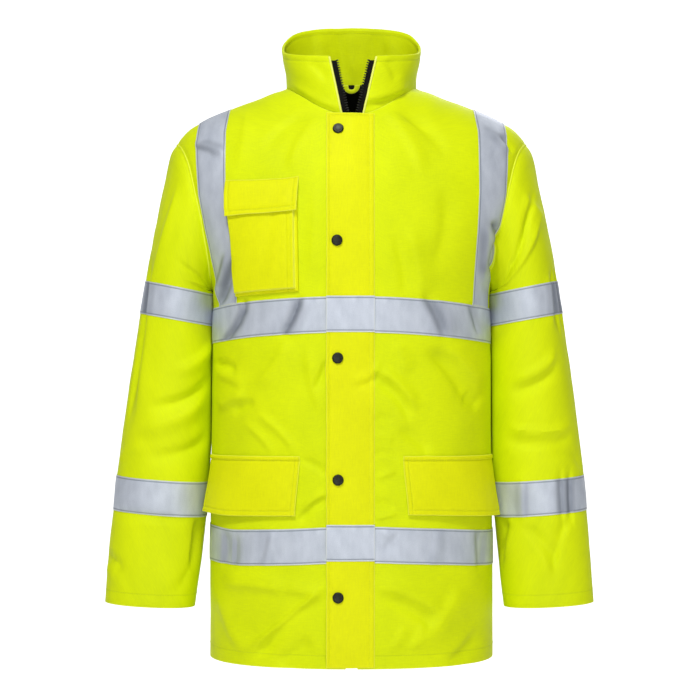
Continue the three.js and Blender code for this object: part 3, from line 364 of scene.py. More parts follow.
# Creases of the cloth: soft troughs (-) and ridges (+) between two points, bowed to one side,
# as x0, z0, x1, z1, bow, half width, height. x is to the wearer's left.
CREASE_STEEP = 0.62
CREASE_SOFT = 1.35
CREASE_DEPTH = 1.8
CREASE_REACH = 1.25
FRONT_CREASES = [
    # skirt
    (-42, -698, -136, -780, 4, 8, 4.6), (-48, -712, -132, -792, -3, 7, -4.4),
    (-175, -698, -91, -702, 3, 12, 2.8), (-91, -702, -43, -709, 2, 9, 2.2),
    (-60, -768, -102, -806, 2, 13, -2.6), (38, -694, 126, -736, 4, 13, 2.8),
    (44, -712, 112, -752, 3, 10, -2.2), (72, -752, 54, -782, 2, 7, 1.8), (98, -748, 83, -782, 2, 6, 1.8),
    (152, -704, 92, -780, 5, 15, 3.2), (178, -766, 138, -804, 3, 12, -2.8),
    (-186, -716, -150, -790, -6, 12, 2.4),
    # hem tape
    (39, -620, 69, -647, 2, 5, 0.6), (69, -620, 44, -647, -2, 5, -0.6), (-179, -624, -180, -680, 1, 4, -2.4),
    (-171, -626, -173, -678, -1, 4, -1.6), (-163, -628, -166, -676, 1, 4.5, -2.0),
    (177, -624, 179, -680, 1, 4.5, -2.4), (187, -626, 186, -678, -1, 4, -1.8),
    (-110, -622, -122, -672, 2, 7, 1.0), (120, -620, 108, -672, 2, 8, 1.2),
    # between the flaps and the storm flap
    (-70, -523, -35, -543, 3, 5, -2.2), (-35, -573, -74, -607, -3, 6, -2.8),
    (-34, -566, -66, -588, -3, 6, 1.6), (34, -488, 58, -495, 1, 4, 1.4), (34, -511, 62, -520, 2, 4, -1.5),
    (34, -549, 60, -539, 1, 4, 1.3), (34, -580, 58, -591, 2, 4.5, -1.5), (34, -604, 60, -598, 1, 4, 1.2),
    (34, -463, 56, -470, 2, 5, -1.4),
    # waist
    (-131, -460, -80, -508, 3, 4.5, 2.0), (-149, -474, -112, -510, 2, 4, 1.7),
    (-36, -385, -52, -424, 2, 5, -2.4), (-186, -453, -148, -433, 3, 9, 3.4),
    (-164, -459, -136, -445, 2, 6, -2.6), (-90, -358, -128, -418, 4, 12, 2.6),
    (-62, -370, -44, -452, -3, 9, 1.8), (36, -398, 88, -450, 6, 6.5, 3.4), (33, -413, 80, -466, 6, 6, -2.6),
    (4, -413, 40, -391, -4, 6, 2.4), (2, -424, 38, -404, -4, 5, -1.6), (111, -373, 162, -440, 5, 13, -4.6),
    (158, -437, 178, -451, 0, 11, -3), (130, -366, 184, -424, 4, 11, 3.0), (68, -482, 106, -513, 3, 8, -2.4),
    (60, -362, 74, -402, 2, 9, 1.6), (-196, -390, -164, -401, 2, 6, -3.2),
    (-192, -404, -150, -420, 2, 8, 2.2),
    # chest tape
    (-151, -298, -153, -322, 1, 4, -2.6), (-153, -318, -183, -358, 3, 4, -2.8),
    (-72, -296, -98, -350, 3, 3.6, -2.2), (-64, -300, -90, -352, 3, 6, 1.2),
    (101, -294, 128, -352, 3, 6, -2.4), (165, -306, 179, -346, 1, 5, -2.0), (112, -298, 140, -352, 3, 7, 1.4),
    # chest and shoulders
    (78, -205, 98, -296, 2, 11, 2.4), (60, -210, 74, -290, 2, 10, -1.6), (52, -40, 98, -122, 6, 10, 2.2),
    (66, -34, 130, -94, 5, 9, -2.0), (-50, -48, -86, -118, -5, 10, 2.0), (-66, -38, -122, -86, -4, 9, -1.8),
    (130, -150, 118, -250, 5, 14, -2.0), (-52, -150, -58, -270, 3, 12, 1.4),
    (-165, -242, -189, -308, 3, 4.5, -2.8), (-174, -232, -198, -300, 3, 6, 2.0),
    (-222, -77, -180, -95, 2, 6, 1.8), (198, -190, 208, -219, 2, 4, -3.8),
    (208, -212, 194, -252, -2, 4, -3.6), (194, -244, 203, -282, 2, 4, -3.2),
    (187, -196, 184, -268, 2, 7, 2.4), (212, -66, 230, -88, 1, 4, -1.6), (192, -52, 216, -92, 1, 8, 1.4),
    (-150, -30, -160, -110, 3, 10, 1.2),
]
BACK_CREASES = [
    (-150, -400, -28, -432, 8, 13, -3.8), (-132, -426, -20, -463, 7, 12, 3.2),
    (20, -396, 152, -431, -9, 13, -3.4), (30, -433, 142, -454, -6, 11, 3.0),
    (-44, -505, 74, -521, 5, 15, 2.6), (-162, -540, -58, -576, 6, 12, -3.2),
    (58, -545, 168, -521, 5, 12, -3.0), (-122, -700, -40, -774, 5, 13, 3.6),
    (-100, -713, -28, -789, 5, 11, -3.4), (48, -698, 132, -779, -5, 13, 3.2),
    (94, -698, 164, -744, -4, 10, -2.8), (-2, -698, 10, -792, 4, 15, -2.6),
    (-92, -130, -58, -246, 8, 15, 2.8), (80, -128, 60, -252, -8, 15, 2.8),
    (-152, -150, -120, -256, 6, 12, -3.2), (150, -148, 117, -262, -6, 13, -3.2),
    (-122, -58, -58, -112, 5, 11, -2.0), (112, -58, 48, -114, -5, 11, -2.0),
    (-140, -298, -151, -362, 2, 6, -2.2), (60, -296, 73, -358, 2, 6, -1.8),
    (-60, -618, -52, -675, 2, 5, -1.8), (120, -616, 128, -675, 2, 5, -2.0),
    (-168, -300, -150, -356, 3, 7, 1.6), (150, -300, 166, -352, -3, 8, 1.8),
    (-180, -470, -130, -500, 4, 9, 2.4), (182, -480, 128, -503, 4, 9, 2.2),
    (-20, -366, 40, -374, 3, 10, -1.8),
]
COLLAR_CREASES = [
    (-82, 6, -17, -36, -7, 6.5, 2.8), (-78, -8, -26, -40, -6, 5.5, -2.6), (24, -18, 78, 6, -6, 7, 2.6),
    (20, -30, 66, -14, -5, 6, -2.4), (-60, 34, -36, 8, 3, 8, -1.6), (48, 36, 62, 10, 3, 8, -1.8),
]
COLLAR_BACK_CREASES = [
    (-52, 96, -44, 30, 3, 9, -2.2), (-24, 104, -14, 30, 3, 8, 1.7), (-2, 100, 4, 34, -3, 7, -1.8),
    (30, 100, 20, 32, 3, 8, 1.8), (58, 92, 50, 24, 3, 9, -1.9),
]

# Sleeve creases: station and angle of both ends, then bow, half width and height in millimetres.
# The angle runs from 0 on the shoulder line over the front, 90, to 180 inside, and below 0 behind.
STATION_STEP = 55
ANGLE_STEP = 1.1
SLEEVE_CREASES = {
    "right": [
        (4.4, 28, 8.6, 33, 3, 9, -3.6), (4.6, 44, 8.4, 50, 3, 9, 1.8), (1.4, 52, 5, 48, 4, 11, 2.4),
        (12.15, 6, 12.35, 54, 3, 4.5, -3.4), (12.4, 10, 12.7, 60, 3, 7, 1.8), (11.1, 150, 12.2, 147, 2, 12, -5),
        (12.3, 142, 12.9, 98, 4, 7, -2.8), (11.1, 26, 11.2, 122, 6, 6, -2.4), (7.3, 152, 8.2, 72, 6, 8, -4.2),
        (7.8, 142, 8.8, 60, 6, 10, 3.6), (8.8, 152, 9.4, 78, 5, 9, -3.4), (6.4, 160, 7.2, 98, 5, 9, 3.0),
        (2.1, 150, 3.6, 92, 8, 11, -3.4), (2.9, 160, 4.4, 108, 8, 11, 3.0), (9.7, 20, 9.2, 70, 4, 8, 2.0),
        (7.1, 190, 8.0, 262, 6, 10, -4.4), (8.2, 196, 9, 266, 6, 11, 3.8), (9.2, 200, 9.8, 264, 4, 9, -3.4),
        (2.4, 200, 4, 258, 8, 11, -3.4), (12, 196, 12.5, 264, 4, 8, -2.8), (5.1, -64, 8.8, -48, 5, 11, -3.0),
        (11.3, -72, 12.2, -28, 4, 7, 2.4), (2.6, -70, 4.6, -40, 5, 12, 2.4),
    ],
    "left": [
        (2, 38, 4.1, 152, 8, 10, -3.6), (2.8, 42, 4.7, 150, 8, 11, 3.0), (4.6, 18, 6.4, 22, 2, 5.5, -2.8),
        (4.6, 36, 6.4, 39, 2, 5.5, -2.4), (4.8, 50, 6.3, 54, 2, 7, 1.6), (8.6, 124, 8.7, 42, 6, 4.5, 3.0),
        (8.9, 128, 9.0, 46, 6, 6, -2.8), (7.4, 112, 6.9, 56, 5, 8, 2.8), (7.7, 120, 7.2, 58, 5, 8, -3.0),
        (9.8, 50, 11.3, 54, 2, 5.5, -2.4), (9.8, 65, 11.3, 67, 2, 4.5, -2.0), (9.9, 110, 11.2, 112, 2, 7, 1.8),
        (11.1, 140, 12.1, 164, 2, 11, -5), (11.2, 58, 12.2, 84, 5, 7, -3.2), (12.2, 84, 11.3, 114, 5, 7, -3.0),
        (11.5, 70, 12.5, 96, 4, 9, 2.0), (9.7, 22, 9.3, 74, 4, 8, -2.0), (1.5, 60, 3.0, 24, 4, 10, 1.8),
        (7.2, 192, 7.9, 260, 6, 11, -4.0), (8.3, 190, 9.1, 264, 6, 10, 4.0), (9.4, 200, 9.7, 262, 4, 9, -3.0),
        (2.2, 200, 3.8, 262, 8, 11, -3.2), (12.1, 200, 12.4, 264, 4, 8, -2.6), (5.3, -60, 8.6, -50, 5, 11, -2.8),
        (11.4, -68, 12.1, -30, 4, 7, 2.2), (2.8, -72, 4.4, -38, 5, 12, 2.2),
    ],
}


def crease_height(creases, x, z):
    """Height of all creases at points of the cloth. Each is steeper on one side and fades out
    towards its ends."""
    total = np.zeros_like(x)
    for x0, z0, x1, z1, bow, wide, high in creases:
        start, run = np.array([x0, z0], float), np.array([x1 - x0, z1 - z0], float)
        length = math.hypot(*run)
        run = run / length
        dx, dz = x - start[0], z - start[1]
        along = (dx * run[0] + dz * run[1]) / length
        off = -dx * run[1] + dz * run[0] - bow * 4 * along * (1 - along)
        ends = soft_step(np.clip(1 - np.abs(2 * along - 1) / CREASE_REACH, 0, 1) * 1.7)
        side = wide * np.where(off > 0, CREASE_SOFT, CREASE_STEEP)
        total += CREASE_DEPTH * high * ends * np.exp(-((off / side) ** 2))
    return total


def paper_noise(x, y, size, seed):
    """Smooth unevenness from -1 to 1, in cells of the given size."""
    dice = np.random.default_rng(seed).uniform(-1, 1, (64, 64))
    gx, gy = np.asarray(x) / size, np.asarray(y) / size
    ix, iy = np.floor(gx).astype(int), np.floor(gy).astype(int)
    tx, ty = soft_step(gx - ix), soft_step(gy - iy)

    def corner(a, b):
        return dice[(ix + a) % 64, (iy + b) % 64]

    return mix(mix(corner(0, 0), corner(1, 0), tx), mix(corner(0, 1), corner(1, 1), tx), ty)


def unevenness(x, y):
    """The slight swell and dent that cloth has between its creases."""
    return 0.9 * paper_noise(x + 900, y + 1900, 52, 3) + 0.4 * paper_noise(x + 900, y + 1900, 23, 5)


def body_swell(face, points):
    """How far the body's cloth stands off its plain shape."""
    x, z = points[..., 0], points[..., 2]
    creases = FRONT_CREASES if face == "front" else BACK_CREASES
    height = crease_height(creases, x, z) + unevenness(x, z)
    return height * np.clip(np.abs(points[..., 1]) / CREASE_EDGE, 0, 1)


def body_edge(points):
    """The body's half width level with points beside it."""
    face_depth = np.where(
        points[..., 1] < 0, smooth(BODY, "z", "front", points[..., 2]), smooth(BODY, "z", "back", points[..., 2])
    )
    share = np.minimum(np.abs(points[..., 1]) / face_depth, 1)
    z = np.minimum(points[..., 2], ARMHOLE["middle"] - ARMHOLE["half"])
    return smooth(BODY, "z", "half", z) * (1 - share**SQUARENESS) ** (1 / SQUARENESS)


SLEEVE_CELLS = 10
SEAM_DIP = 1.3
SEAM_DIP_WIDTH = 5
# Creases fade out where a sleeve's rings lie closer together than this, as they do under the arm.
CREASE_ROOM = 38


def sleeve_grid(hand, seam, angles):
    """A sleeve's rings from the armhole to the cuff. Columns run from the shoulder down the front
    and up the back."""
    side = SIDES[hand]
    stations = np.arange(len(SLEEVE["out_x"]))
    table = {"k": stations, **SLEEVE}
    k = np.linspace(0, stations[-1], SLEEVE_CELLS * stations[-1] + 1)[:, None]
    turn = np.radians(np.asarray(angles))[None, :]

    def ring(k):
        at = {name: smooth(table, "k", name, k) for name in SLEEVE}
        lean = SLEEVE_LEAN[hand] * np.maximum(0, (-at["out_z"] - LEAN_FROM) / LEAN_OVER)
        reach_c = np.sign(np.cos(turn)) * np.abs(np.cos(turn)) ** SLEEVE_REACH
        reach_s = np.sign(np.sin(turn)) * np.abs(np.sin(turn)) ** SLEEVE_REACH
        x = (at["out_x"] + at["in_x"]) / 2 + lean + reach_c * (at["out_x"] - at["in_x"]) / 2
        y = at["back"] - reach_s * at["depth"] / 2
        z = (at["out_z"] + at["in_z"]) / 2 + reach_c * (at["out_z"] - at["in_z"]) / 2
        return np.stack([x * side, y, z], axis=-1)

    pull = np.clip(smooth(table, "k", "seam", k), 0, 1)[..., None]
    points = ring(k) + (seam[None] - ring(np.zeros((1, 1)))) * pull
    middle = points.mean(axis=1, keepdims=True)
    normals = grid_normals(points, points - middle, closed=True)
    around = (np.asarray(angles)[None, :] + 90) % 360 - 90
    u, v = around * ANGLE_STEP + 0 * k, -k * STATION_STEP + 0 * around
    creases = [
        (a0 * ANGLE_STEP, -k0 * STATION_STEP, a1 * ANGLE_STEP, -k1 * STATION_STEP, bow, wide, high)
        for k0, a0, k1, a1, bow, wide, high in SLEEVE_CREASES[hand]
    ]
    height = crease_height(creases, u, v)
    height += unevenness(np.sin(turn) * 70 + 150 * side + 0 * k, v + np.cos(turn) * 40)
    room = np.linalg.norm(np.gradient(points, axis=0), axis=-1) * SLEEVE_CELLS / CREASE_ROOM
    height *= soft_step(k / 2) * soft_step((stations[-1] - k) / 0.9) * np.clip(room, 0, 1)
    from_seam = steps_along(points, 0)
    height = height - SEAM_DIP * np.exp(-((from_seam / SEAM_DIP_WIDTH) ** 2)) * (from_seam > 0)
    points = points + normals * height[..., None]
    clear = mix(-SLEEVE_LAP, SLEEVE_CLEAR, soft_step((k - STATION["up_tape_top"] + 0.5) / 1.5))
    edge = body_edge(points) + clear
    moved = side * np.maximum(points[..., 0] * side, edge)
    gap = np.maximum(points[..., 0] * side - edge, 0)
    drawn = gap * (1 - soft_step(gap / ARMPIT["reach"])) * (1 - soft_step((k - ARMPIT["from"]) / 1.5))
    points[..., 0] = np.where(k > 0, moved - side * drawn, points[..., 0])
    normals = grid_normals(points, points - middle, closed=True)
    return points, normals


def collar_column(hand, face, turn, share):
    """Points of the collar's outside. turn is 0 at the side of the neck and 1 at the zip or the middle
    of the back."""
    foot, rim = COLLAR_OPENING[hand]
    half, deep = smooth(COLLAR, "share", "half", share), smooth(COLLAR, "share", face, share)
    square = mix(2, RIM_SQUARENESS, share)
    foot_turn = 90.0
    edge = np.full_like(share, 90.0)
    if face == "front":
        foot_turn = math.degrees(math.acos(foot / NECK["half"]))
        edge = np.degrees(np.arccos((mix(foot, rim, share) / half) ** (square / 2)))
    angle = np.radians(turn * edge)
    foot_x, foot_level = neck_point(face, turn * foot_turn + 0 * share)
    foot_z = height_of(foot_x, foot_level) + SEAM_GAP
    y = (-1 if face == "front" else 1) * deep * np.maximum(np.sin(angle), 0) ** (2 / square)
    x = SIDES[hand] * half * np.maximum(np.cos(angle), 0) ** (2 / square)
    return np.stack([x, y, mix(foot_z, smooth(RIM, "y", "z", y), share)], axis=-1)


# Meshes
def make_mesh(name, points, faces, materials, uv=None, attributes=None):
    """An object in its place from points in millimetres. uv is one (u, v) in metres for each face corner."""
    data = bpy.data.meshes.new(name)
    data.from_pydata([tuple(p) for p in np.asarray(points) * MM], [], [tuple(int(i) for i in f) for f in faces])
    if uv is not None:
        data.uv_layers.new(name="flat").data.foreach_set("uv", np.asarray(uv, np.float32).ravel())
    for key, values in (attributes or {}).items():
        numbers = np.asarray(values, np.float32).ravel()
        data.attributes.new(key, "FLOAT", "POINT").data.foreach_set("value", numbers)
    for material in materials:
        data.materials.append(material)
    data.polygons.foreach_set("use_smooth", [True] * len(data.polygons))
    data.update()
    piece = bpy.data.objects.new(name, data)
    bpy.context.scene.collection.objects.link(piece)
    return piece


def steps_along(points, axis):
    gaps = np.linalg.norm(np.diff(points, axis=axis), axis=-1)
    zero = np.zeros_like(np.take(gaps, [0], axis=axis))
    return np.concatenate([zero, np.cumsum(gaps, axis=axis)], axis=axis)


def edge_gaps(points):
    """Distance over the cloth from each of a grid's four edges. The first row is the lowest."""
    down, across = steps_along(points, 0), steps_along(points, 1)
    return {"low": down, "high": down[-1:] - down, "first": across, "last": across[:, -1:] - across}


def nearest_edge(points, closed=False):
    gaps = edge_gaps(points)
    return np.minimum.reduce([gaps[key] for key in (("low", "high") if closed else gaps)])


def line_in(points, normals, edge, inset, trim=0.0, closed=False, lift=0.0):
    """A sewing line over a grid of cloth, a distance in from one of its edges and short of its ends by trim."""
    gap = edge_gaps(points)[edge]
    if edge in ("first", "last"):
        points, normals, gap = points.transpose(1, 0, 2), normals.transpose(1, 0, 2), gap.T
    if edge in ("high", "last"):
        points, normals, gap = points[::-1], normals[::-1], gap[::-1]
    column = np.arange(points.shape[1])
    row = np.clip(np.argmax(gap >= inset, axis=0), 1, len(gap) - 1)
    before, after = gap[row - 1, column], gap[row, column]
    t = np.clip((inset - before) / np.maximum(after - before, 1e-6), 0, 1)[:, None]
    line = mix(points[row - 1, column], points[row, column], t)
    out = unit(mix(normals[row - 1, column], normals[row, column], t))
    if closed:
        line, out = np.concatenate([line, line[:1]]), np.concatenate([out, out[:1]])
    if trim:
        run = steps_along(line, 0)
        at = np.r_[trim, run[(run > trim) & (run < run[-1] - trim)], run[-1] - trim]
        line = np.stack([np.interp(at, run, line[:, i]) for i in range(3)], axis=1)
        out = np.stack([np.interp(at, run, out[:, i]) for i in range(3)], axis=1)
    return line + out * lift, out


def stops(length, step, first=(0,), last=(0,)):
    """Places along a length as shares of it, at the given distances near its two ends and a step
    apart between."""
    start, end = np.asarray(first, float), length - np.asarray(last, float)[::-1]
    count = max(int(round((end[0] - start[-1]) / step)), 1)
    return np.concatenate([start, np.linspace(start[-1], end[0], count + 1)[1:-1], end]) / length


def regrid(grid, down, across):
    """A grid of points and directions read again at shares of its height and width."""
    made = []
    for values in grid:
        rows = np.stack([
            np.stack([np.interp(across, np.linspace(0, 1, values.shape[1]), row[:, i]) for i in range(3)], axis=1)
            for row in values
        ])
        old = np.linspace(0, 1, len(rows))
        flat = rows.reshape(len(rows), -1)
        fitted = np.stack([np.interp(down, old, flat[:, i]) for i in range(flat.shape[1])], axis=1)
        made.append(fitted.reshape(len(down), -1, 3))
    return made[0], unit(made[1])


CUTS = {}
NO_STITCH = 50.0


def sheet_piece(name, points, normals, materials, closed=False, attributes=None, face_material=None, parted=None):
    """A grid of cloth as a mesh, with its flat size in metres as its UV map. The cells of the parted column are left
    out, and the columns beside it are joined as far as they meet."""
    rows, cols = points.shape[:2]
    index = np.arange(rows * cols).reshape(rows, cols)
    if closed:
        index = np.concatenate([index, index[:, :1]], axis=1)
    quads = np.stack([index[:-1, :-1], index[:-1, 1:], index[1:, 1:], index[1:, :-1]], axis=-1).reshape(-1, 4)
    wrapped = np.concatenate([points, points[:, :1]], axis=1) if closed else points
    across, down = steps_along(wrapped, 1), steps_along(wrapped, 0)
    flat = np.stack([across, down], axis=-1) * MM
    corners = np.stack([flat[:-1, :-1], flat[:-1, 1:], flat[1:, 1:], flat[1:, :-1]], axis=2).reshape(-1, 4, 2)
    a, b, c, d = wrapped[:-1, :-1], wrapped[:-1, 1:], wrapped[1:, 1:], wrapped[1:, :-1]
    like = normals[: rows - 1, : wrapped.shape[1] - 1]
    if (np.cross(b - a, d - a) * like).sum() < 0:
        quads, corners = quads[:, ::-1], corners[:, ::-1]
    kept = np.ones((rows - 1, index.shape[1] - 1), bool)
    if parted is not None:
        kept[:, parted] = False
    quads, corners = quads[kept.ravel()], corners[kept.ravel()]
    area = (np.linalg.norm(np.cross(c - a, d - b), axis=-1) * kept).sum() / 2
    width, length = across[:, -1].max(), down[-1].max()
    CUTS[name] = (width * MM, length * MM, min(area, width * length) * MM * MM)
    given = {"edge": nearest_edge(points, closed), "stitch_a": np.full(points.shape[:2], NO_STITCH),
             "stitch_b": np.full(points.shape[:2], NO_STITCH)}
    given.update(attributes or {})
    piece = make_mesh(name, points.reshape(-1, 3), quads, materials, corners, given)
    if face_material is not None:
        piece.data.polygons.foreach_set("material_index", np.asarray(face_material, np.int32)[kept])
    return piece if parted is None else weld(piece)


def thicken(piece, thick, bevel=0.0, inner_slot=0, clamp=0.0):
    """Gives a sheet its thickness, inwards from the face that was made, and rounds its cut edges. With a clamp, it is
    thinner where its cells are smaller than its thickness."""
    solid = piece.modifiers.new("Thickness", "SOLIDIFY")
    solid.thickness, solid.offset = thick * MM, -1
    solid.material_offset, solid.thickness_clamp = inner_slot, clamp
    if bevel:
        round_edge = piece.modifiers.new("Rounded edge", "BEVEL")
        round_edge.width, round_edge.segments = bevel * MM, 2
        round_edge.limit_method, round_edge.angle_limit = "ANGLE", math.radians(60)
    return piece


WELD_WITHIN = 0.01


def weld(piece, closed=False):
    """Joins points that lie on each other."""
    shape = bmesh.new()
    shape.from_mesh(piece.data)
    bmesh.ops.remove_doubles(shape, verts=shape.verts, dist=WELD_WITHIN * MM)
    if closed:
        bmesh.ops.recalc_face_normals(shape, faces=shape.faces)
    shape.to_mesh(piece.data)
    shape.free()
    return piece


CORD_SIDES = 8


def tube(name, path, out, radius, material):
    """A thin cord along a path. out gives a direction across it at each point."""
    along = unit(np.gradient(path, axis=0))
    across = unit(np.cross(along, out))
    out = np.cross(across, along)
    turn = np.linspace(0, 2 * math.pi, CORD_SIDES, endpoint=False)[None, :, None]
    rings = path[:, None] + radius * (np.cos(turn) * out[:, None] + np.sin(turn) * across[:, None])
    caps = [np.repeat(path[[i]], CORD_SIDES, axis=0)[None] for i in (0, -1)]
    rings = np.concatenate([caps[0], rings, caps[1]])
    middle = np.concatenate([path[:1], path, path[-1:]])[:, None]
    return weld(sheet_piece(name, rings, rings - middle + 1e-6, [material], closed=True), closed=True)


# Materials
def to_linear(code):
    """An sRGB hex colour as linear red, green, blue and alpha."""
    parts = [int(code[i:i + 2], 16) / 255 for i in (1, 3, 5)]
    return [c / 12.92 if c <= 0.04045 else ((c + 0.055) / 1.055) ** 2.4 for c in parts] + [1.0]


def add_node(tree, kind, links=None, **settings):
    """Adds a node, sets its settings, and gives each named input a value or another node's output."""
    made = tree.nodes.new(kind)
    for key, value in settings.items():
        setattr(made, key, value)
    for key, value in (links or {}).items():
        socket = made.inputs[key]
        if isinstance(value, bpy.types.NodeSocket):
            tree.links.new(value, socket)
        else:
            socket.default_value = value
    return made


def new_material(name, rough, **constants):
    material = bpy.data.materials.new(name)
    material.use_nodes = True
    shader = material.node_tree.nodes["Principled BSDF"]
    shader.inputs["Roughness"].default_value = rough
    for key, value in constants.items():
        shader.inputs[key.replace("_", " ")].default_value = value
    return material, material.node_tree, shader


def grain_at(tree, place, wide, high, detail=2.0):
    """Noise with cells of the given size in millimetres over a place in metres."""
    stretched = add_node(tree, "ShaderNodeMapping", {"Vector": place, "Scale": (1 / (wide * MM), 1 / (high * MM), 1)})
    return add_node(tree, "ShaderNodeTexNoise", {"Vector": stretched.outputs[0], "Scale": 1.0, "Detail": detail})


def blend_colours(tree, factor, first, second, mode="MIX"):
    made = add_node(tree, "ShaderNodeMix", data_type="RGBA", blend_type=mode)
    for socket, value in ((made.inputs[0], factor), (made.inputs[6], first), (made.inputs[7], second)):
        if isinstance(value, bpy.types.NodeSocket):
            tree.links.new(value, socket)
        else:
            socket.default_value = value
    return made.outputs[2]


def band(tree, value, near, far):
    """1 where value is under near, falling to 0 at far."""
    made = add_node(tree, "ShaderNodeMapRange", {
        "Value": value, "From Min": near, "From Max": far, "To Min": 1.0, "To Max": 0.0}, interpolation_type="SMOOTHSTEP")
    return made.outputs[0]


def stitch_groove(tree):
    """1 along the sewing lines, from the distances that each piece's points carry."""
    found = []
    for key in ("stitch_a", "stitch_b"):
        line = add_node(tree, "ShaderNodeAttribute", attribute_name=key).outputs["Fac"]
        away = add_node(tree, "ShaderNodeMath", {0: line},
                        operation="ABSOLUTE")
        found.append(band(tree, away.outputs[0], 0.2, STITCH_GROOVE))
    return add_node(tree, "ShaderNodeMath", {0: found[0], 1: found[1]}, operation="MAXIMUM").outputs[0]


STITCH_GROOVE = 1.5


def woven_cloth(name, light, dark, edge_highlight_colour, rough, weft, warp, bump, **constants):
    """Woven cloth: long weft threads across short warp ones, with a painted highlight where it is folded over at its
    edges and darker stitch grooves, partly needle holes and partly painted shade.
    """
    material, tree, shader = new_material(name, rough, **constants)
    place = add_node(tree, "ShaderNodeUVMap", uv_map="flat").outputs[0]
    across = grain_at(tree, place, *weft).outputs[0]
    down = grain_at(tree, place, *warp).outputs[0]
    threads = add_node(tree, "ShaderNodeMix", {"Factor": 0.4, "A": across, "B": down}).outputs[0]
    patches = grain_at(tree, place, 70, 90, 3.0).outputs[0]
    shade = add_node(tree, "ShaderNodeMath", {0: threads, 1: patches}, operation="ADD").outputs[0]
    tone = add_node(tree, "ShaderNodeMapRange", {"Value": shade, "From Min": 0.7, "From Max": 1.3}).outputs[0]
    colour = blend_colours(tree, tone, to_linear(dark), to_linear(light))
    groove = stitch_groove(tree)
    # Darker along the stitch grooves: partly needle holes, partly painted shade in the groove.
    sewn = add_node(tree, "ShaderNodeMath", {0: groove, 1: 0.2}, operation="MULTIPLY").outputs[0]
    colour = blend_colours(tree, sewn, colour, to_linear(dark), "MULTIPLY")
    # Lighter within 1.8 mm of the edges: painted highlight where the cloth is turned over.
    edge_highlight = band(tree, add_node(tree, "ShaderNodeAttribute", attribute_name="edge").outputs["Fac"], 0.3, 1.8)
    edge_highlight = add_node(tree, "ShaderNodeMath", {0: edge_highlight, 1: 0.5}, operation="MULTIPLY").outputs[0]
    tree.links.new(blend_colours(tree, edge_highlight, colour, to_linear(edge_highlight_colour)), shader.inputs["Base Color"])
    spread = add_node(tree, "ShaderNodeMapRange", {
        "Value": threads, "From Min": 0.3, "From Max": 0.7, "To Min": rough - 0.08, "To Max": rough + 0.08}).outputs[0]
    tree.links.new(spread, shader.inputs["Roughness"])
    raised = add_node(tree, "ShaderNodeMath", {0: threads, 1: groove}, operation="SUBTRACT").outputs[0]
    relief = add_node(tree, "ShaderNodeBump", {"Height": raised, "Distance": bump * MM, "Strength": 1.0})
    tree.links.new(relief.outputs[0], shader.inputs["Normal"])
    return material


# Fluorescent polyester oxford, woven from bright yarn and coated inside: even, satin, with a slight slub.
# Its threads are 0.4 mm, too fine to show, so the slub is drawn 1.6 mm high and 14 mm long.
YELLOW = woven_cloth("fluorescent_oxford_polyester", "#e0ef00", "#cfe000", "#f2f85c", 0.66, (14, 1.6), (1.8, 9), 0.14,
                     Specular_IOR_Level=0.16)
# The same cloth cut across for flaps and pocket: its weft runs upright, so it looks a little warmer.
YELLOW_ACROSS = woven_cloth("fluorescent_oxford_cut_across", "#eaee02", "#dce000", "#f4f860", 0.66, (1.8, 12), (11, 1.6),
                            0.14, Specular_IOR_Level=0.16)
# A lighter copy of the same cloth for its loose selvedge, turned out beside the zip: painted highlight along that
# turned edge.
YELLOW_PAINTED_HIGHLIGHT = woven_cloth("fluorescent_oxford_painted_highlight", "#f4f97c", "#eaf060", "#fbfdb0", 0.7, (8, 1.2), (1.2, 6), 0.08,
                          Specular_IOR_Level=0.16)
# Its reverse, turned to the neck inside the collar: a copy of the cloth with less shine, and its colour darkened as
# painted shade for the inside of the collar.
YELLOW_REVERSE_SHADED = woven_cloth("fluorescent_oxford_reverse_painted_shade", "#d2e000", "#c2d100", "#e2ea30", 0.72, (14, 1.6), (1.8, 9),
                             0.14, Specular_IOR_Level=0.1)
# Black polyester taffeta, calendered: a dull shine over fine, even threads.
LINING = woven_cloth("black_taffeta_lining", "#0f1106", "#080a03", "#14160b", 0.7, (9, 1.4), (1.4, 7), 0.08,
                     Specular_IOR_Level=0.12)
# Zip tape: twill of black polyester, matt, with its ribs across.
ZIP_CLOTH = woven_cloth("black_twill_zip_tape", "#0a0a06", "#050503", "#10100a", 0.8, (6, 1.2), (1.2, 6), 0.12,
                        Specular_IOR_Level=0.15)


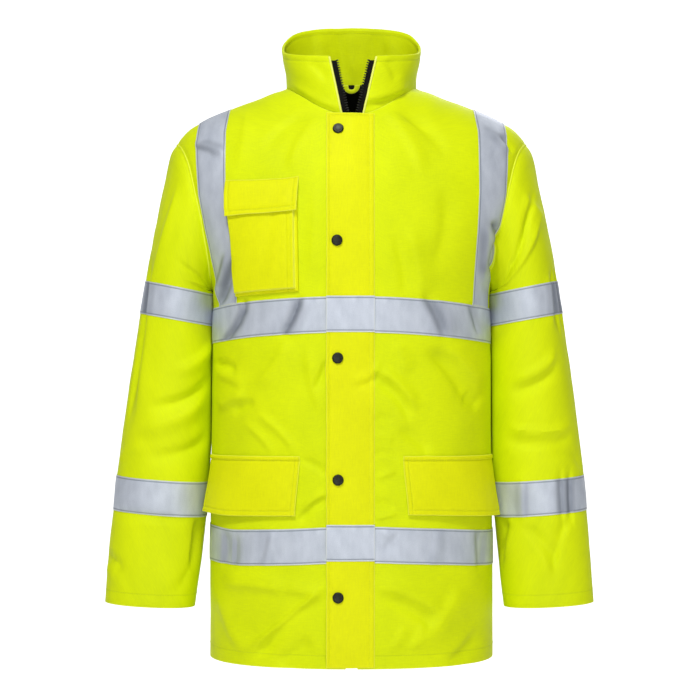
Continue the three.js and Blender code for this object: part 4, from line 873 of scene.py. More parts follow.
def reflective_tape():
    """Glass beads bonded to grey cloth: silver and even from the front, with fine grain. It is darker turned away,
    partly from the lights and partly from painted shade where it bends, and darker along its stitches, partly needle
    holes and partly painted shade.
    """
    material, tree, shader = new_material("glass_bead_reflective_tape", 0.6, Metallic=0.4)
    place = add_node(tree, "ShaderNodeUVMap", uv_map="flat").outputs[0]
    beads = grain_at(tree, place, 1.1, 1.1, 1.0).outputs[0]
    streaks = grain_at(tree, place, 16, 34, 3.0).outputs[0]
    tone = add_node(tree, "ShaderNodeMix", {"Factor": 0.6, "A": beads, "B": streaks}).outputs[0]
    tone = add_node(tree, "ShaderNodeMapRange", {"Value": tone, "From Min": 0.32, "From Max": 0.68}).outputs[0]
    colour = blend_colours(tree, tone, to_linear("#b8bfcc"), to_linear("#d3d9e4"))
    groove = stitch_groove(tree)
    # Darker grey along the stitch lines: partly needle holes, partly painted shade in the groove.
    sewn = add_node(tree, "ShaderNodeMath", {0: groove, 1: 0.7}, operation="MULTIPLY").outputs[0]
    colour = blend_colours(tree, sewn, colour, to_linear("#7d8591"))
    # Darker where the tape bends out of its general run: painted shade.
    bend_shade = add_node(tree, "ShaderNodeAttribute", attribute_name="bend_shade").outputs["Fac"]
    colour = blend_colours(tree, bend_shade, colour, to_linear("#797f8b"))
    border = band(tree, add_node(tree, "ShaderNodeAttribute", attribute_name="edge").outputs["Fac"], 0.8, 2.0)
    border = add_node(tree, "ShaderNodeMath", {0: border, 1: 0.5}, operation="MULTIPLY").outputs[0]
    tree.links.new(blend_colours(tree, border, colour, to_linear("#dfe2e0")), shader.inputs["Base Color"])
    spread = add_node(tree, "ShaderNodeMapRange", {
        "Value": beads, "From Min": 0.3, "From Max": 0.7, "To Min": 0.54, "To Max": 0.66}).outputs[0]
    tree.links.new(spread, shader.inputs["Roughness"])
    raised = add_node(tree, "ShaderNodeMath", {0: tone, 1: groove}, operation="SUBTRACT").outputs[0]
    relief = add_node(tree, "ShaderNodeBump", {"Height": raised, "Distance": 0.07 * MM, "Strength": 1.0})
    tree.links.new(relief.outputs[0], shader.inputs["Normal"])
    return material


def cast_finish(name, light, dark, rough, metal, cell):
    """A hard trim in one colour, a little uneven from its mould or plating."""
    material, tree, shader = new_material(name, rough, Metallic=metal)
    place = add_node(tree, "ShaderNodeTexCoord").outputs["Object"]
    uneven = add_node(tree, "ShaderNodeTexNoise", {"Vector": place, "Scale": 1 / (cell * MM), "Detail": 3.0}).outputs[0]
    tone = add_node(tree, "ShaderNodeMapRange", {"Value": uneven, "From Min": 0.35, "From Max": 0.65}).outputs[0]
    tree.links.new(blend_colours(tree, tone, to_linear(dark), to_linear(light)), shader.inputs["Base Color"])
    spread = add_node(tree, "ShaderNodeMapRange", {
        "Value": uneven, "From Min": 0.3, "From Max": 0.7, "To Min": rough - 0.06, "To Max": rough + 0.08}).outputs[0]
    tree.links.new(spread, shader.inputs["Roughness"])
    relief = add_node(tree, "ShaderNodeBump", {"Height": uneven, "Distance": 0.02 * MM, "Strength": 0.6})
    tree.links.new(relief.outputs[0], shader.inputs["Normal"])
    return material


TAPE = reflective_tape()
# Snap caps: brass plated gunmetal and brushed dull.
METAL = cast_finish("gunmetal_plated_brass", "#33352e", "#1d1f1a", 0.4, 0.8, 1.5)
# Zip teeth: moulded acetal, black with a soft shine.
TEETH = cast_finish("moulded_black_acetal", "#10100c", "#080806", 0.5, 0.0, 1.2)
# Sewing thread: spun polyester, matt, dyed to match what it sews.
YELLOW_THREAD = cast_finish("yellow_spun_polyester_thread", "#e2ec1c", "#c9d404", 0.7, 0.0, 0.8)
GREY_THREAD = cast_finish("grey_spun_polyester_thread", "#aab2bc", "#838b96", 0.7, 0.0, 0.8)

# Sewing lines are gathered here, by thread, as (points, outward directions), and sewn at the end.
SEWN = {"yellow": [], "grey": []}
THREAD_LIFT = 0.15

# Panels
FRONT_DOWN = [13] * 13 + [8] * 8 + [6] * 6
BACK_DOWN = [10] * 13 + [6] * 8 + [5] * 6
FRONT_ACROSS = [22, 28, 20, 26]
BACK_ACROSS = [17, 20, 15, 18]
HEM_STITCH = 18.6
CUFF_STITCH = 18.5


def row_at(down, name):
    return sum(down[:ROW[name]])


def column_at(across, mark):
    return sum(across[:["middle", "pocket", "tape_in", "tape_out", "side"].index(mark)])


def seam_dip(points, down):
    """The cloth is drawn in along the armhole seam."""
    to_seam = edge_gaps(points)["last"]
    above = soft_step((np.arange(len(points)) - row_at(down, "underarm")) / 6)[:, None]
    return -SEAM_DIP * np.exp(-((to_seam / SEAM_DIP_WIDTH) ** 2)) * above * (to_seam > 0)


panels = {}
for hand in SIDES:
    for face, down, across in (("front", FRONT_DOWN, FRONT_ACROSS), ("back", BACK_DOWN, BACK_ACROSS)):
        points, normals = panel_grid(face, hand, down, across)
        points = points + normals * (body_swell(face, points) + seam_dip(points, down))[..., None]
        panels[face, hand] = (points, grid_normals(points, normals))

pieces = {}


def faced(rows, cols, facing_rows):
    """Which material each cell of a panel gets: the facing at the hem is the shell's own cloth inside too."""
    index = np.zeros((rows - 1, cols), int)
    index[facing_rows] = 2
    return index


SHELL_MATERIALS = [YELLOW, LINING, YELLOW, YELLOW]
FACING_ROWS = 12


def shell_piece(name, points, normals, closed=False, facing=slice(0, FACING_ROWS), hem="low", stitch=HEM_STITCH,
                parted=None):
    rows, cols = points.shape[:2]
    to_hem = edge_gaps(points)[hem]
    made = sheet_piece(name, points, normals, SHELL_MATERIALS, closed, {"stitch_a": to_hem - stitch},
                       faced(rows, cols if closed else cols - 1, facing), parted)
    SEWN["yellow"].append(line_in(points, normals, hem, stitch, 0 if closed else 1.5, closed, THREAD_LIFT))
    return thicken(made, CLOTH, 0.5, 1, 1.0 if closed else 0.0)


for hand in SIDES:
    pieces[f"front_{hand}"] = shell_piece(f"front_{hand}_panel", *panels["front", hand])

left_points, left_normals = panels["back", "left"]
right_points, right_normals = panels["back", "right"]
back_points = np.concatenate([right_points[:, :0:-1], left_points], axis=1)
back_normals = np.concatenate([right_normals[:, :0:-1], left_normals], axis=1)
back_normals = grid_normals(back_points, back_normals)
# Round the neck the halves part, so the right half keeps its own middle column above the middle of the neck.
middle_column = right_points.shape[1] - 1
neck_edge = right_points[:, 0].copy()
neck_edge[:row_at(BACK_DOWN, "neck_front") + 1] = left_points[:row_at(BACK_DOWN, "neck_front") + 1, 0]
pieces["back"] = shell_piece(
    "back_panel", np.insert(back_points, middle_column, neck_edge, axis=1),
    np.insert(back_normals, middle_column, right_normals[:, 0], axis=1), parted=middle_column)

sleeves = {}
for hand in SIDES:
    seam, angles = [], []
    for face, down in (("front", FRONT_DOWN), ("back", BACK_DOWN)):
        t = np.concatenate([i + np.arange(n) / n for i, n in enumerate(down)] + [[len(ROWS) - 1.0]])
        chest = t >= ROW["underarm"]
        turns = np.interp(t[chest], np.arange(ROW["underarm"], len(ROWS)),
                          [v[1] for v in [*CHEST_ROWS.values(), *NECK_ROWS.values()]])
        edge = panels[face, hand][0][chest, -1]
        if face == "front":
            seam.append(edge[::-1])
            angles.append(turns[::-1])
        else:
            seam.append(edge[1:-1])
            angles.append(360 - turns[1:-1])
    sleeves[hand] = sleeve_grid(hand, np.concatenate(seam), np.concatenate(angles))
    points, normals = sleeves[hand]
    pieces[f"sleeve_{hand}"] = shell_piece(
        f"sleeve_{hand}_cloth", points, normals, True, slice(-6, None), "high", CUFF_STITCH)

# Collar: outside, rounded rim, inside and foot in one ring of rows
FRONT_TURNS = np.r_[1, 0.9985, 0.995, 0.99, 0.984, np.linspace(0.975, 0, 40)]
BACK_TURNS = np.linspace(0, 1, 36)
COLLAR_SHARES = np.linspace(0, 0.982, 34)
RIM_STEPS = 7
RIM_STITCH = 7
FOOT_LAP = {"out": 0.4, "down": 1.0}


def collar_outside():
    share = COLLAR_SHARES[:, None]
    runs = [
        collar_column("right", "front", FRONT_TURNS[None, :], share),
        collar_column("right", "back", BACK_TURNS[None, 1:], share),
        collar_column("left", "back", BACK_TURNS[None, ::-1][:, 1:], share),
        collar_column("left", "front", FRONT_TURNS[None, ::-1][:, 1:], share),
    ]
    points = np.concatenate(runs, axis=1)
    normals = grid_normals(points, points * np.array([1, 1, 0]))
    x, y, z = points[..., 0], points[..., 1], points[..., 2]
    height = np.where(y < 0, crease_height(COLLAR_CREASES, x, z), crease_height(COLLAR_BACK_CREASES, x, z))
    height = height + 0.6 * unevenness(x * 1.6, z * 1.6)
    foot = edge_gaps(points)["low"]
    points = points + normals * (height * soft_step(foot / 12))[..., None]
    return points, grid_normals(points, normals)


collar_points, collar_normals = collar_outside()


def collar_ring():
    across = steps_along(collar_points, 1)
    near = np.minimum(across, across[:, -1:] - across)
    round_by = COLLAR_THICK / 2
    thin = np.sqrt(np.clip(1 - (1 - np.clip(near / round_by, 0, 1)) ** 2, 0, 1))[..., None]
    middle = collar_points - collar_normals * COLLAR_THICK / 2
    to_rim = edge_gaps(collar_points)["high"]
    groove = 0.7 * np.exp(-(((to_rim - RIM_STITCH) / 1.6) ** 2))[..., None]
    reach = COLLAR_THICK / 2 * thin
    outside = middle + collar_normals * (reach - groove * thin)
    inside = middle - collar_normals * (reach - groove * thin)
    rise = unit(collar_points[1] - collar_points[0])
    outside[0] += collar_normals[0] * FOOT_LAP["out"] - rise * FOOT_LAP["down"]
    up = unit(collar_points[-1] - collar_points[-2])
    rim = []
    for i in range(1, RIM_STEPS):
        angle = math.pi * i / RIM_STEPS
        rim.append(middle[-1] + reach[-1] * (math.cos(angle) * collar_normals[-1] + math.sin(angle) * up))
    return outside, np.stack(rim), inside


collar_out, collar_rim, collar_in = collar_ring()
closed_ring = np.concatenate([collar_out, collar_rim, collar_in[::-1], collar_out[:1]], axis=0)
ring_normals = np.concatenate([
    collar_normals, np.repeat(collar_normals[-1:], RIM_STEPS - 1, axis=0), -collar_normals[::-1], collar_normals[:1]])
to_rim = edge_gaps(collar_points)["high"] - RIM_STITCH
ring_stitch = np.concatenate([
    to_rim, np.full((RIM_STEPS - 1, to_rim.shape[1]), -RIM_STITCH), to_rim[::-1], to_rim[:1]])
inner_layer = np.zeros((len(closed_ring) - 1, closed_ring.shape[1] - 1), int)
inner_layer[len(collar_out) + RIM_STEPS:-1] = 1
pieces["collar"] = weld(sheet_piece("collar_cloth", closed_ring, ring_normals, [YELLOW, YELLOW_REVERSE_SHADED],
                                    face_material=inner_layer,
                                    attributes={"stitch_a": ring_stitch, "edge": np.full(ring_stitch.shape, 20.0)}),
                        closed=True)
collar_across = edge_gaps(collar_points)
CUTS["collar_cloth"] = (collar_across["last"].max() * MM, collar_across["high"].max() * MM, None)
SEWN["yellow"].append(line_in(collar_out, collar_normals, "high", RIM_STITCH, 4, lift=THREAD_LIFT))
SEWN["yellow"].append(line_in(collar_in, -collar_normals, "high", RIM_STITCH, 4, lift=THREAD_LIFT))

# Overlays: pieces that lie on a panel
TAPE_STITCH = 2.6


def cut(face, hand, low, high, first, last, wider=0):
    """Part of a half panel between two named rows and two lengthwise marks, or some columns wider
    at the first mark."""
    down, across = (FRONT_DOWN, FRONT_ACROSS) if face == "front" else (BACK_DOWN, BACK_ACROSS)
    rows = slice(row_at(down, low), row_at(down, high) + 1)
    cols = slice(column_at(across, first) - wider, column_at(across, last) + 1)
    points, normals = panels[face, hand]
    return points[rows, cols], normals[rows, cols]


BENT_FROM = 0.1
BENT_FULL = 0.5
BENT_COLUMNS = 9


def bend_shade(normals, closed):
    """How far the tape turns away from its general run, from 0 to 1: its colour is painted darker there, painted shade
    for the light its beads send back less of.
    """
    shares = np.exp(-((np.arange(-2 * BENT_COLUMNS, 2 * BENT_COLUMNS + 1) / BENT_COLUMNS) ** 2))
    padded = np.pad(normals, ((0, 0), (2 * BENT_COLUMNS,) * 2, (0, 0)), mode="wrap" if closed else "edge")
    run = unit(sum(share * padded[:, i:i + normals.shape[1]] for i, share in enumerate(shares)))
    angle = np.arccos(np.clip((normals * run).sum(axis=-1), -1, 1))
    shade = np.clip((angle - BENT_FROM) / (BENT_FULL - BENT_FROM), 0, 1)
    for axis in (1, 0, 1):
        ends = ((0, 0), (1, 1)) if axis else ((1, 1), (0, 0))
        wide = np.pad(shade, ends, mode="wrap" if closed and axis else "edge")
        shade = (np.take(wide, range(shade.shape[axis]), axis) + 2 * shade
                 + np.take(wide, range(2, shade.shape[axis] + 2), axis)) / 4
    return shade


def tape_piece(name, points, normals, lift, edges, closed=False):
    """Tape sewn along the given edges, drawn down a little along its stitches."""
    gaps = edge_gaps(points)
    near = np.minimum.reduce([gaps[edge] for edge in edges])
    sunk = 0.35 * np.exp(-(((near - TAPE_STITCH) / 1.8) ** 2))
    top = points + normals * (lift + TAPE_THICK - sunk)[..., None]
    normals = grid_normals(top, normals, closed)
    read = {"stitch_a": near - TAPE_STITCH, "bend_shade": bend_shade(normals, closed)}
    made = sheet_piece(name, top, normals, [TAPE], closed, read)
    for edge in edges:
        SEWN["grey"].append(line_in(top, normals, edge, TAPE_STITCH, 0 if closed else 1.0, closed, THREAD_LIFT))
    return thicken(made, TAPE_THICK * 0.8, 0.2)


DENSE_TAPE = (0, 0.9, 1.8, 2.6, 3.4, 4.6)
for band_name in ("chest", "hem"):
    low, high = f"{band_name}_tape_bottom", f"{band_name}_tape_top"
    wide = stops(50, 3.4, DENSE_TAPE, DENSE_TAPE)
    for hand in SIDES:
        strip = cut("front", hand, low, high, "middle", "side")
        points, normals = regrid(strip, wide, np.linspace(0, 1, strip[0].shape[1]))
        pieces[f"{band_name}_tape_{hand}"] = tape_piece(
            f"{band_name}_tape_{hand}_strip", points, normals, SEAM_GAP, ("low", "high"))
    rows = slice(row_at(BACK_DOWN, low), row_at(BACK_DOWN, high) + 1)
    every_column = np.linspace(0, 1, back_points.shape[1])
    points, normals = regrid((back_points[rows], back_normals[rows]), wide, every_column)
    pieces[f"{band_name}_tape_back"] = tape_piece(
        f"{band_name}_tape_back_strip", points, normals, SEAM_GAP, ("low", "high"))

for hand in SIDES:
    front = cut("front", hand, "chest_tape_top", "shoulder", "tape_in", "tape_out")
    rear = cut("back", hand, "chest_tape_top", "shoulder", "tape_in", "tape_out")
    wide = stops(50, 3.4, DENSE_TAPE, DENSE_TAPE)
    front = regrid(front, np.linspace(0, 1, len(front[0])), wide)
    rear = regrid(rear, np.linspace(0, 1, len(rear[0])), wide)
    points, normals = (np.concatenate([f[:-1], (f[-1:] + r[-1:]) / 2, r[-2::-1]]) for f, r in zip(front, rear))
    points[0], points[-1] = mix(points[0], points[1], 0.3), mix(points[-1], points[-2], 0.3)
    pieces[f"shoulder_tape_{hand}"] = tape_piece(
        f"shoulder_tape_{hand}_strip", points, grid_normals(points, unit(normals)), SEAM_GAP, ("first", "last"))
    points, normals = sleeves[hand]
    for place, name in (("up", "upper"), ("low", "lower")):
        top, bottom = (STATION[f"{place}_tape_{end}"] * SLEEVE_CELLS for end in ("top", "bottom"))
        strip = (points[top:bottom + 1], normals[top:bottom + 1])
        ring, out = regrid(strip, stops(50, 4, DENSE_TAPE, DENSE_TAPE), np.linspace(0, 1, points.shape[1]))
        pieces[f"sleeve_tape_{name}_{hand}"] = tape_piece(
            f"sleeve_tape_{name}_{hand}_strip", ring, out, SEAM_GAP, ("low", "high"), closed=True)

# Sewn flaps: two layers turned at the edge, so the rim is full and the stitches sink in
FLAP_EDGE = (0, 0.5, 1.1, 2.0, 3.2, 4.6, 5.6, 6.5, 7.4, 8.6, 10.0, 11.0, 12.2, 14)
FLAP_THICK = 2.0
FLAP_STITCH = 6.5


def sewn_flap(name, grid, lift, lines, ridge=0.0, thick=FLAP_THICK, swell=0.0):
    """A flap over a grid. lines are (edge, inset) of its stitches, and ridge is the height of its
    raised top seam."""
    points, normals = grid
    gaps = edge_gaps(points)
    near = np.minimum.reduce(list(gaps.values()))
    edge_arc = np.sqrt(np.clip(1 - (1 - near / 1.6) ** 2, 0, 1)) * (near < 1.6)
    height = lift + thick - 0.7 * (1 - edge_arc - (near >= 1.6))
    for edge, inset in lines:
        height = height - 0.55 * np.exp(-(((gaps[edge] - inset) / 1.3) ** 2))
    if ridge:
        height = height + ridge * soft_step((6.4 - gaps["high"]) / 1.6)
    height = height + swell
    top = points + normals * height[..., None]
    out = grid_normals(top, normals)
    insets = sorted({inset for _, inset in lines})
    away = [np.minimum.reduce([gaps[edge] for edge, at in lines if at == inset]) - inset for inset in insets]
    given = dict(zip(("stitch_a", "stitch_b"), away))
    made = sheet_piece(name, top, out, [YELLOW_ACROSS], attributes=given)
    for edge, inset in lines:
        SEWN["yellow"].append(line_in(top, out, edge, inset, 4, lift=THREAD_LIFT))
    return thicken(made, thick * 0.85, 0.35)


FLAP_STEP = 4.5


def flap_grid(strip):
    """Part of a panel with closer rows and columns near its edges."""
    points = strip[0]
    gaps = edge_gaps(points)
    high, wide = gaps["low"][-1].mean(), gaps["first"][:, -1].mean()
    down = stops(high, FLAP_STEP, FLAP_EDGE, FLAP_EDGE)
    across = stops(wide, FLAP_STEP, FLAP_EDGE, FLAP_EDGE)
    return regrid(strip, down, across)


# Storm flap: its free edge lifts unevenly, and the other edge is sewn down
STORM_THICK = 2.0
SNAPS = [(-18.5, -61.7), (-20, -219), (-19, -381), (-18.5, -549), (-18.5, -711)]
SNAP_RADIUS = 7.75
storm_wide = STORM["sewn"] - STORM["free"]
STORM_EDGE = (0, 0.5, 1.1, 2.0, 3.0, 4.0, 5.0, 6.2, 7.2, 8.2, 9.6)
storm_x = STORM["free"] + storm_wide * stops(storm_wide, 3.4, STORM_EDGE, STORM_EDGE)
storm_high = STORM["top"] - STORM["bottom"]
storm_z = STORM["bottom"] + storm_high * stops(storm_high, 3.4, STORM_EDGE, STORM_EDGE)


def storm_surface(z):
    x, z = np.meshgrid(storm_x, z)
    points = np.stack([x, -depth_of("front", np.abs(x), z), z], axis=-1)
    normals = body_normals("front", points)
    height = STORM["creased"] * crease_height(FRONT_CREASES, x, z) + unevenness(x, z)
    for snap_x, snap_z in SNAPS:
        away = np.hypot(x - snap_x, z - snap_z)
        height = height - 0.8 * np.exp(-(((away - SNAP_RADIUS) / 3.5) ** 2))
    points = points + normals * height[..., None]
    free = 1 - soft_step((x - STORM["free"]) / 34)
    lift = mix(0.25, STORM["lift"], 1 - soft_step((x + 4) / 30))
    lift = lift + free * (1.2 + 0.9 * paper_noise(z + 1000, 0 * z, 74, 8))
    return points, grid_normals(points, normals), lift


points, normals, lift = storm_surface(storm_z)
pieces["storm_flap"] = sewn_flap(
    "storm_flap_cloth", (points, normals), lift,
    [("first", 4.0), ("last", 1.2), ("last", 7.6), ("high", 4.0)], thick=STORM_THICK)
storm_top = points + normals * (lift + STORM_THICK)[..., None]
FLAP_TAPE_UP = {"chest": 0.8, "hem": 2.2}
for band_name in ("chest", "hem"):
    low, high = LOWER_ROWS[f"{band_name}_tape_bottom"][0], LOWER_ROWS[f"{band_name}_tape_top"][0]
    low, high = low + FLAP_TAPE_UP[band_name], high + FLAP_TAPE_UP[band_name]
    points, normals, lift = storm_surface(low + (high - low) * stops(50, 3.4, DENSE_TAPE, DENSE_TAPE))
    pieces[f"{band_name}_tape_flap"] = tape_piece(
        f"{band_name}_tape_flap_strip", points, normals, lift + STORM_THICK + 0.15,
        ("low", "high"))

# Chest pocket: its face stands off the front on a bellows, whose folded edge shows at the inner side
# and the bottom
POCKET_EDGE = (0, 0.4, 1.0, 2.0, 3.2, 4.2, 4.8, 5.3, 5.8, 6.4, 7.4, 9, 12, 14, 15.2, 16.4, 18)
BELLOWS_WIDE = 4.8
BELLOWS_HIGH = 3.4
POCKET_HIGH = 7.2
POCKET_OUT = 1
strip = cut("front", "right", "pocket_bottom", "pocket_flap_middle", "pocket", "tape_in", POCKET_OUT)
gaps = edge_gaps(strip[0])
pocket_high, pocket_wide = gaps["low"][-1].mean(), gaps["first"][:, -1].mean()
points, normals = regrid(strip, stops(pocket_high, 4, POCKET_EDGE), stops(pocket_wide, 4, POCKET_EDGE, FLAP_EDGE))
gaps = edge_gaps(points)
inner = np.minimum(gaps["first"], gaps["low"])
outer = gaps["last"]
fold = BELLOWS_HIGH * np.sqrt(np.clip(1 - (1 - np.clip(inner / 2.2, 0, 1)) ** 2, 0, 1))
fold = fold - 0.8 * np.exp(-(((inner - BELLOWS_WIDE + 0.3) / 0.6) ** 2))
rise = soft_step((inner - BELLOWS_WIDE) / 0.9) * np.sqrt(np.clip(outer / 2.4, 0.02, 1))
full = POCKET_HIGH + 0.9 * np.sin(np.pi * np.clip(inner / 90, 0, 1))
full = full + 0.5 * unevenness(points[..., 0] * 2, points[..., 2] * 2)
trough = np.exp(-((((gaps["first"] - 46) + (gaps["low"] - 50) * 0.22) / 7) ** 2))
full = full - 1.2 * trough * soft_step(gaps["low"] / 50)
full = full * mix(1, 0.42, soft_step((gaps["low"] - (pocket_high - 26)) / 24))
height = mix(fold, np.maximum(full, fold), rise)
pocket_stitch = 15.2
height = height - 0.5 * np.exp(-(((gaps["first"] - pocket_stitch) / 1.3) ** 2))
height = np.maximum(height, 0.35)
top = points + normals * height[..., None]
out = grid_normals(top, normals)
# Its edge attribute marks the bellows fold and the outer edge, where the cloth's colour gets a painted highlight.
made = sheet_piece("chest_pocket_cloth", top, out, [YELLOW_ACROSS], attributes={
    "stitch_a": gaps["first"] - pocket_stitch, "edge": np.minimum(np.abs(inner - BELLOWS_WIDE - 0.6), outer)})
SEWN["yellow"].append(line_in(top, out, "first", pocket_stitch, 4, lift=THREAD_LIFT))
SEWN["yellow"].append(line_in(top, out, "last", 6.5, 4, lift=THREAD_LIFT))
pieces["chest_pocket"] = thicken(made, 0.7, 0.0)

strip = flap_grid(cut("front", "right", "pocket_flap_bottom", "pocket_flap_top", "pocket", "tape_in", POCKET_OUT))
gaps = edge_gaps(strip[0])
along = gaps["low"] / gaps["low"][-1]
lift = np.interp(along * 2, [0, 0.5, 1, 2], [9.6, 8.4, 5.6, 0.3])
swell = 0.8 * np.exp(-(((gaps["first"] - 24 + gaps["low"] * 0.3) / 7) ** 2)) * np.sin(np.pi * along)
pieces["chest_pocket_flap"] = sewn_flap(
    "chest_pocket_flap_cloth", strip, lift,
    [("low", FLAP_STITCH), ("first", FLAP_STITCH), ("last", FLAP_STITCH), ("high", 1.6)], swell=swell)

# Lower pocket flaps, with a raised seam along the top and two rows of stitches at the inner edge
for hand in SIDES:
    strip = flap_grid(cut("front", hand, "low_flap_bottom", "low_flap_top", "pocket", "tape_out"))
    gaps = edge_gaps(strip[0])
    up = gaps["low"] / gaps["low"][-1] * 2
    side = (gaps["first"] / gaps["first"][:, -1:]) ** 2
    lift = mix(np.interp(up, [0, 1, 2], [3.2, 1.8, 0.3]), np.interp(up, [0, 1, 2], [13, 6, 0.3]), side)
    swell = 0.5 * unevenness(strip[0][..., 0] * 1.5, strip[0][..., 2] * 1.5) * np.sin(np.pi * up / 2)
    pieces[f"low_pocket_flap_{hand}"] = sewn_flap(
        f"low_pocket_flap_{hand}_cloth", strip, lift,
        [("first", 1.8), ("first", 7.2), ("last", 7.2), ("low", 7.2), ("high", 7.2)], ridge=1.5, swell=swell)

# Zip: a woven strip on each side, then the teeth along its inner edge
ZIP = {"opens": (-90, -60), "wide": (7.2, 8.0), "thick": 1.3, "sink": 0.9, "pitch": 3.7}
tooth_lines = []
for hand in SIDES:
    side = SIDES[hand]
    z = np.linspace(STORM["bottom"] + 3, STORM["top"], 190)
    x = slot_edge(hand, z)
    path = np.stack([side * x, -depth_of("front", x, z), z], axis=-1)
    normals = body_normals("front", path)
    column = 0 if hand == "right" else -1
    path = np.concatenate([path, collar_points[1:-2, column]])
    normals = unit(np.concatenate([normals, collar_normals[1:-2, column]]))
    wide = np.interp(path[:, 2], ZIP["opens"], ZIP["wide"])[:, None]
    across = SEAM_GAP + (wide - SEAM_GAP) * np.array([0, 0.2, 0.45, 0.7, 0.88, 1])
    belly = np.array([0, 0.25, 0.3, 0.3, 0.5, 0.2])
    inward = np.array([-side, 0, 0])
    strip = path[:, None] + across[..., None] * inward + (belly[None, :, None] - ZIP["sink"]) * normals[:, None]
    out = np.repeat(normals[:, None], across.shape[1], axis=1)
    strip, out = (strip[:, ::-1], out[:, ::-1]) if side > 0 else (strip, out)
    out = grid_normals(strip, out)
    zip_tape = sheet_piece(f"zip_tape_{hand}_strip", strip, out, [ZIP_CLOTH])
    pieces[f"zip_{hand}"] = thicken(zip_tape, ZIP["thick"], 0.2)
    edge = path + inward * (wide + 0.4) - normals * (ZIP["sink"] - 0.2)
    tooth_lines.append((edge, normals))

# Piping: the thin turned edge beside the zip, from the storm flap up to the collar's rim
PIPING = {"radius": 1.5, "in": -0.1, "out": -0.9}
for hand in SIDES:
    column = 0 if hand == "right" else -1
    to_middle = np.array([-SIDES[hand] * PIPING["out"], 0, 0])
    path = collar_points[:, column] - collar_normals[:, column] * PIPING["in"] + to_middle
    foot = panels["front", hand][0][row_at(FRONT_DOWN, "neck_front") - 6:row_at(FRONT_DOWN, "neck_front"), 0]
    path = np.concatenate([foot, path])
    directions = np.concatenate([np.repeat(collar_normals[:1, column], len(foot), axis=0), collar_normals[:, column]])
    name = f"collar_piping_{hand}"
    pieces[name] = tube(name, path, directions, PIPING["radius"], YELLOW_PAINTED_HIGHLIGHT)

# Neck lining inside the back, and the hanger loop on it
LINING_HALF = 88
LINING_IN = 2.4
rows = slice(row_at(BACK_DOWN, "pocket_flap_middle"), row_at(BACK_DOWN, "neck_front") + 1)
near = np.abs(back_points[rows][len(back_points[rows]) // 2, :, 0]) < LINING_HALF
inside = back_points[rows][:, near] - back_normals[rows][:, near] * (LINING_IN + 0.8)
pieces["neck_lining"] = thicken(
    sheet_piece("neck_lining_cloth", inside, grid_normals(inside, -back_normals[rows][:, near]), [LINING]), 0.8, 0.2)

# Lining turned up over the collar's foot inside, level where the hanger loop is sewn in
SEAM_BAND = {"top": 21.6, "level": 24, "drop": 9, "over": 1.0, "in": 1.2, "rows": 7}
foot = collar_in[0, collar_points[0, :, 1] > -40]
foot_up = unit(collar_in[3] - collar_in[0])[collar_points[0, :, 1] > -40]
foot_in = unit(collar_normals[0, collar_points[0, :, 1] > -40] * np.array([1, 1, 0]))
level = soft_step((SEAM_BAND["level"] * 2 - np.abs(foot[:, 0])) / SEAM_BAND["level"]) * (foot[:, 1] > 0)
top = mix(foot[:, 2] + SEAM_BAND["over"], np.maximum(SEAM_BAND["top"], foot[:, 2] + 0.2), level)
share = np.linspace(0, 1, SEAM_BAND["rows"])[:, None]
rise = mix(-SEAM_BAND["drop"], top - foot[:, 2], share)
seam_band = foot - foot_in * SEAM_BAND["in"] + np.where(rise > 0, rise, 0)[..., None] * foot_up
seam_band[..., 2] += np.minimum(rise, 0)
pieces["neck_seam_band"] = thicken(
    sheet_piece("neck_seam_band", seam_band, np.broadcast_to(-foot_in, seam_band.shape), [LINING]), 0.7, 0.2)

LOOP = {"half": 12.8, "drop": 13, "hole": 4.4, "hole_drop": 6.6, "thick": 1.2}
loop_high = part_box("hanger_loop")[1]
loop_y = seam_band[-1, np.abs(foot[:, 0]) < LOOP["half"]][:, 1].min() - LOOP["thick"]
turn = np.radians(np.linspace(0, 180, 41))[None, :, None]
share = np.linspace(0, 1, 7)[:, None, None]
rounded = np.sign(np.cos(turn)) * np.abs(np.cos(turn)) ** 0.6, np.abs(np.sin(turn)) ** 0.6
loop_x = mix(LOOP["hole"] * rounded[0], LOOP["half"] * np.cos(turn), share)
loop_z = mix(LOOP["hole_drop"] * rounded[1], LOOP["drop"] * np.sin(turn), share)
loop_top = loop_high[2] / MM
loop = np.concatenate([loop_x, loop_y - 0.6 - 0.9 * np.sin(np.pi * share) + 0 * loop_x, loop_top - loop_z], axis=-1)
out = np.broadcast_to(np.array([0.0, -1, 0]), loop.shape)
pieces["hanger_loop"] = thicken(
    sheet_piece("hanger_loop_band", loop, grid_normals(loop, out), [YELLOW]), LOOP["thick"], 0.3)

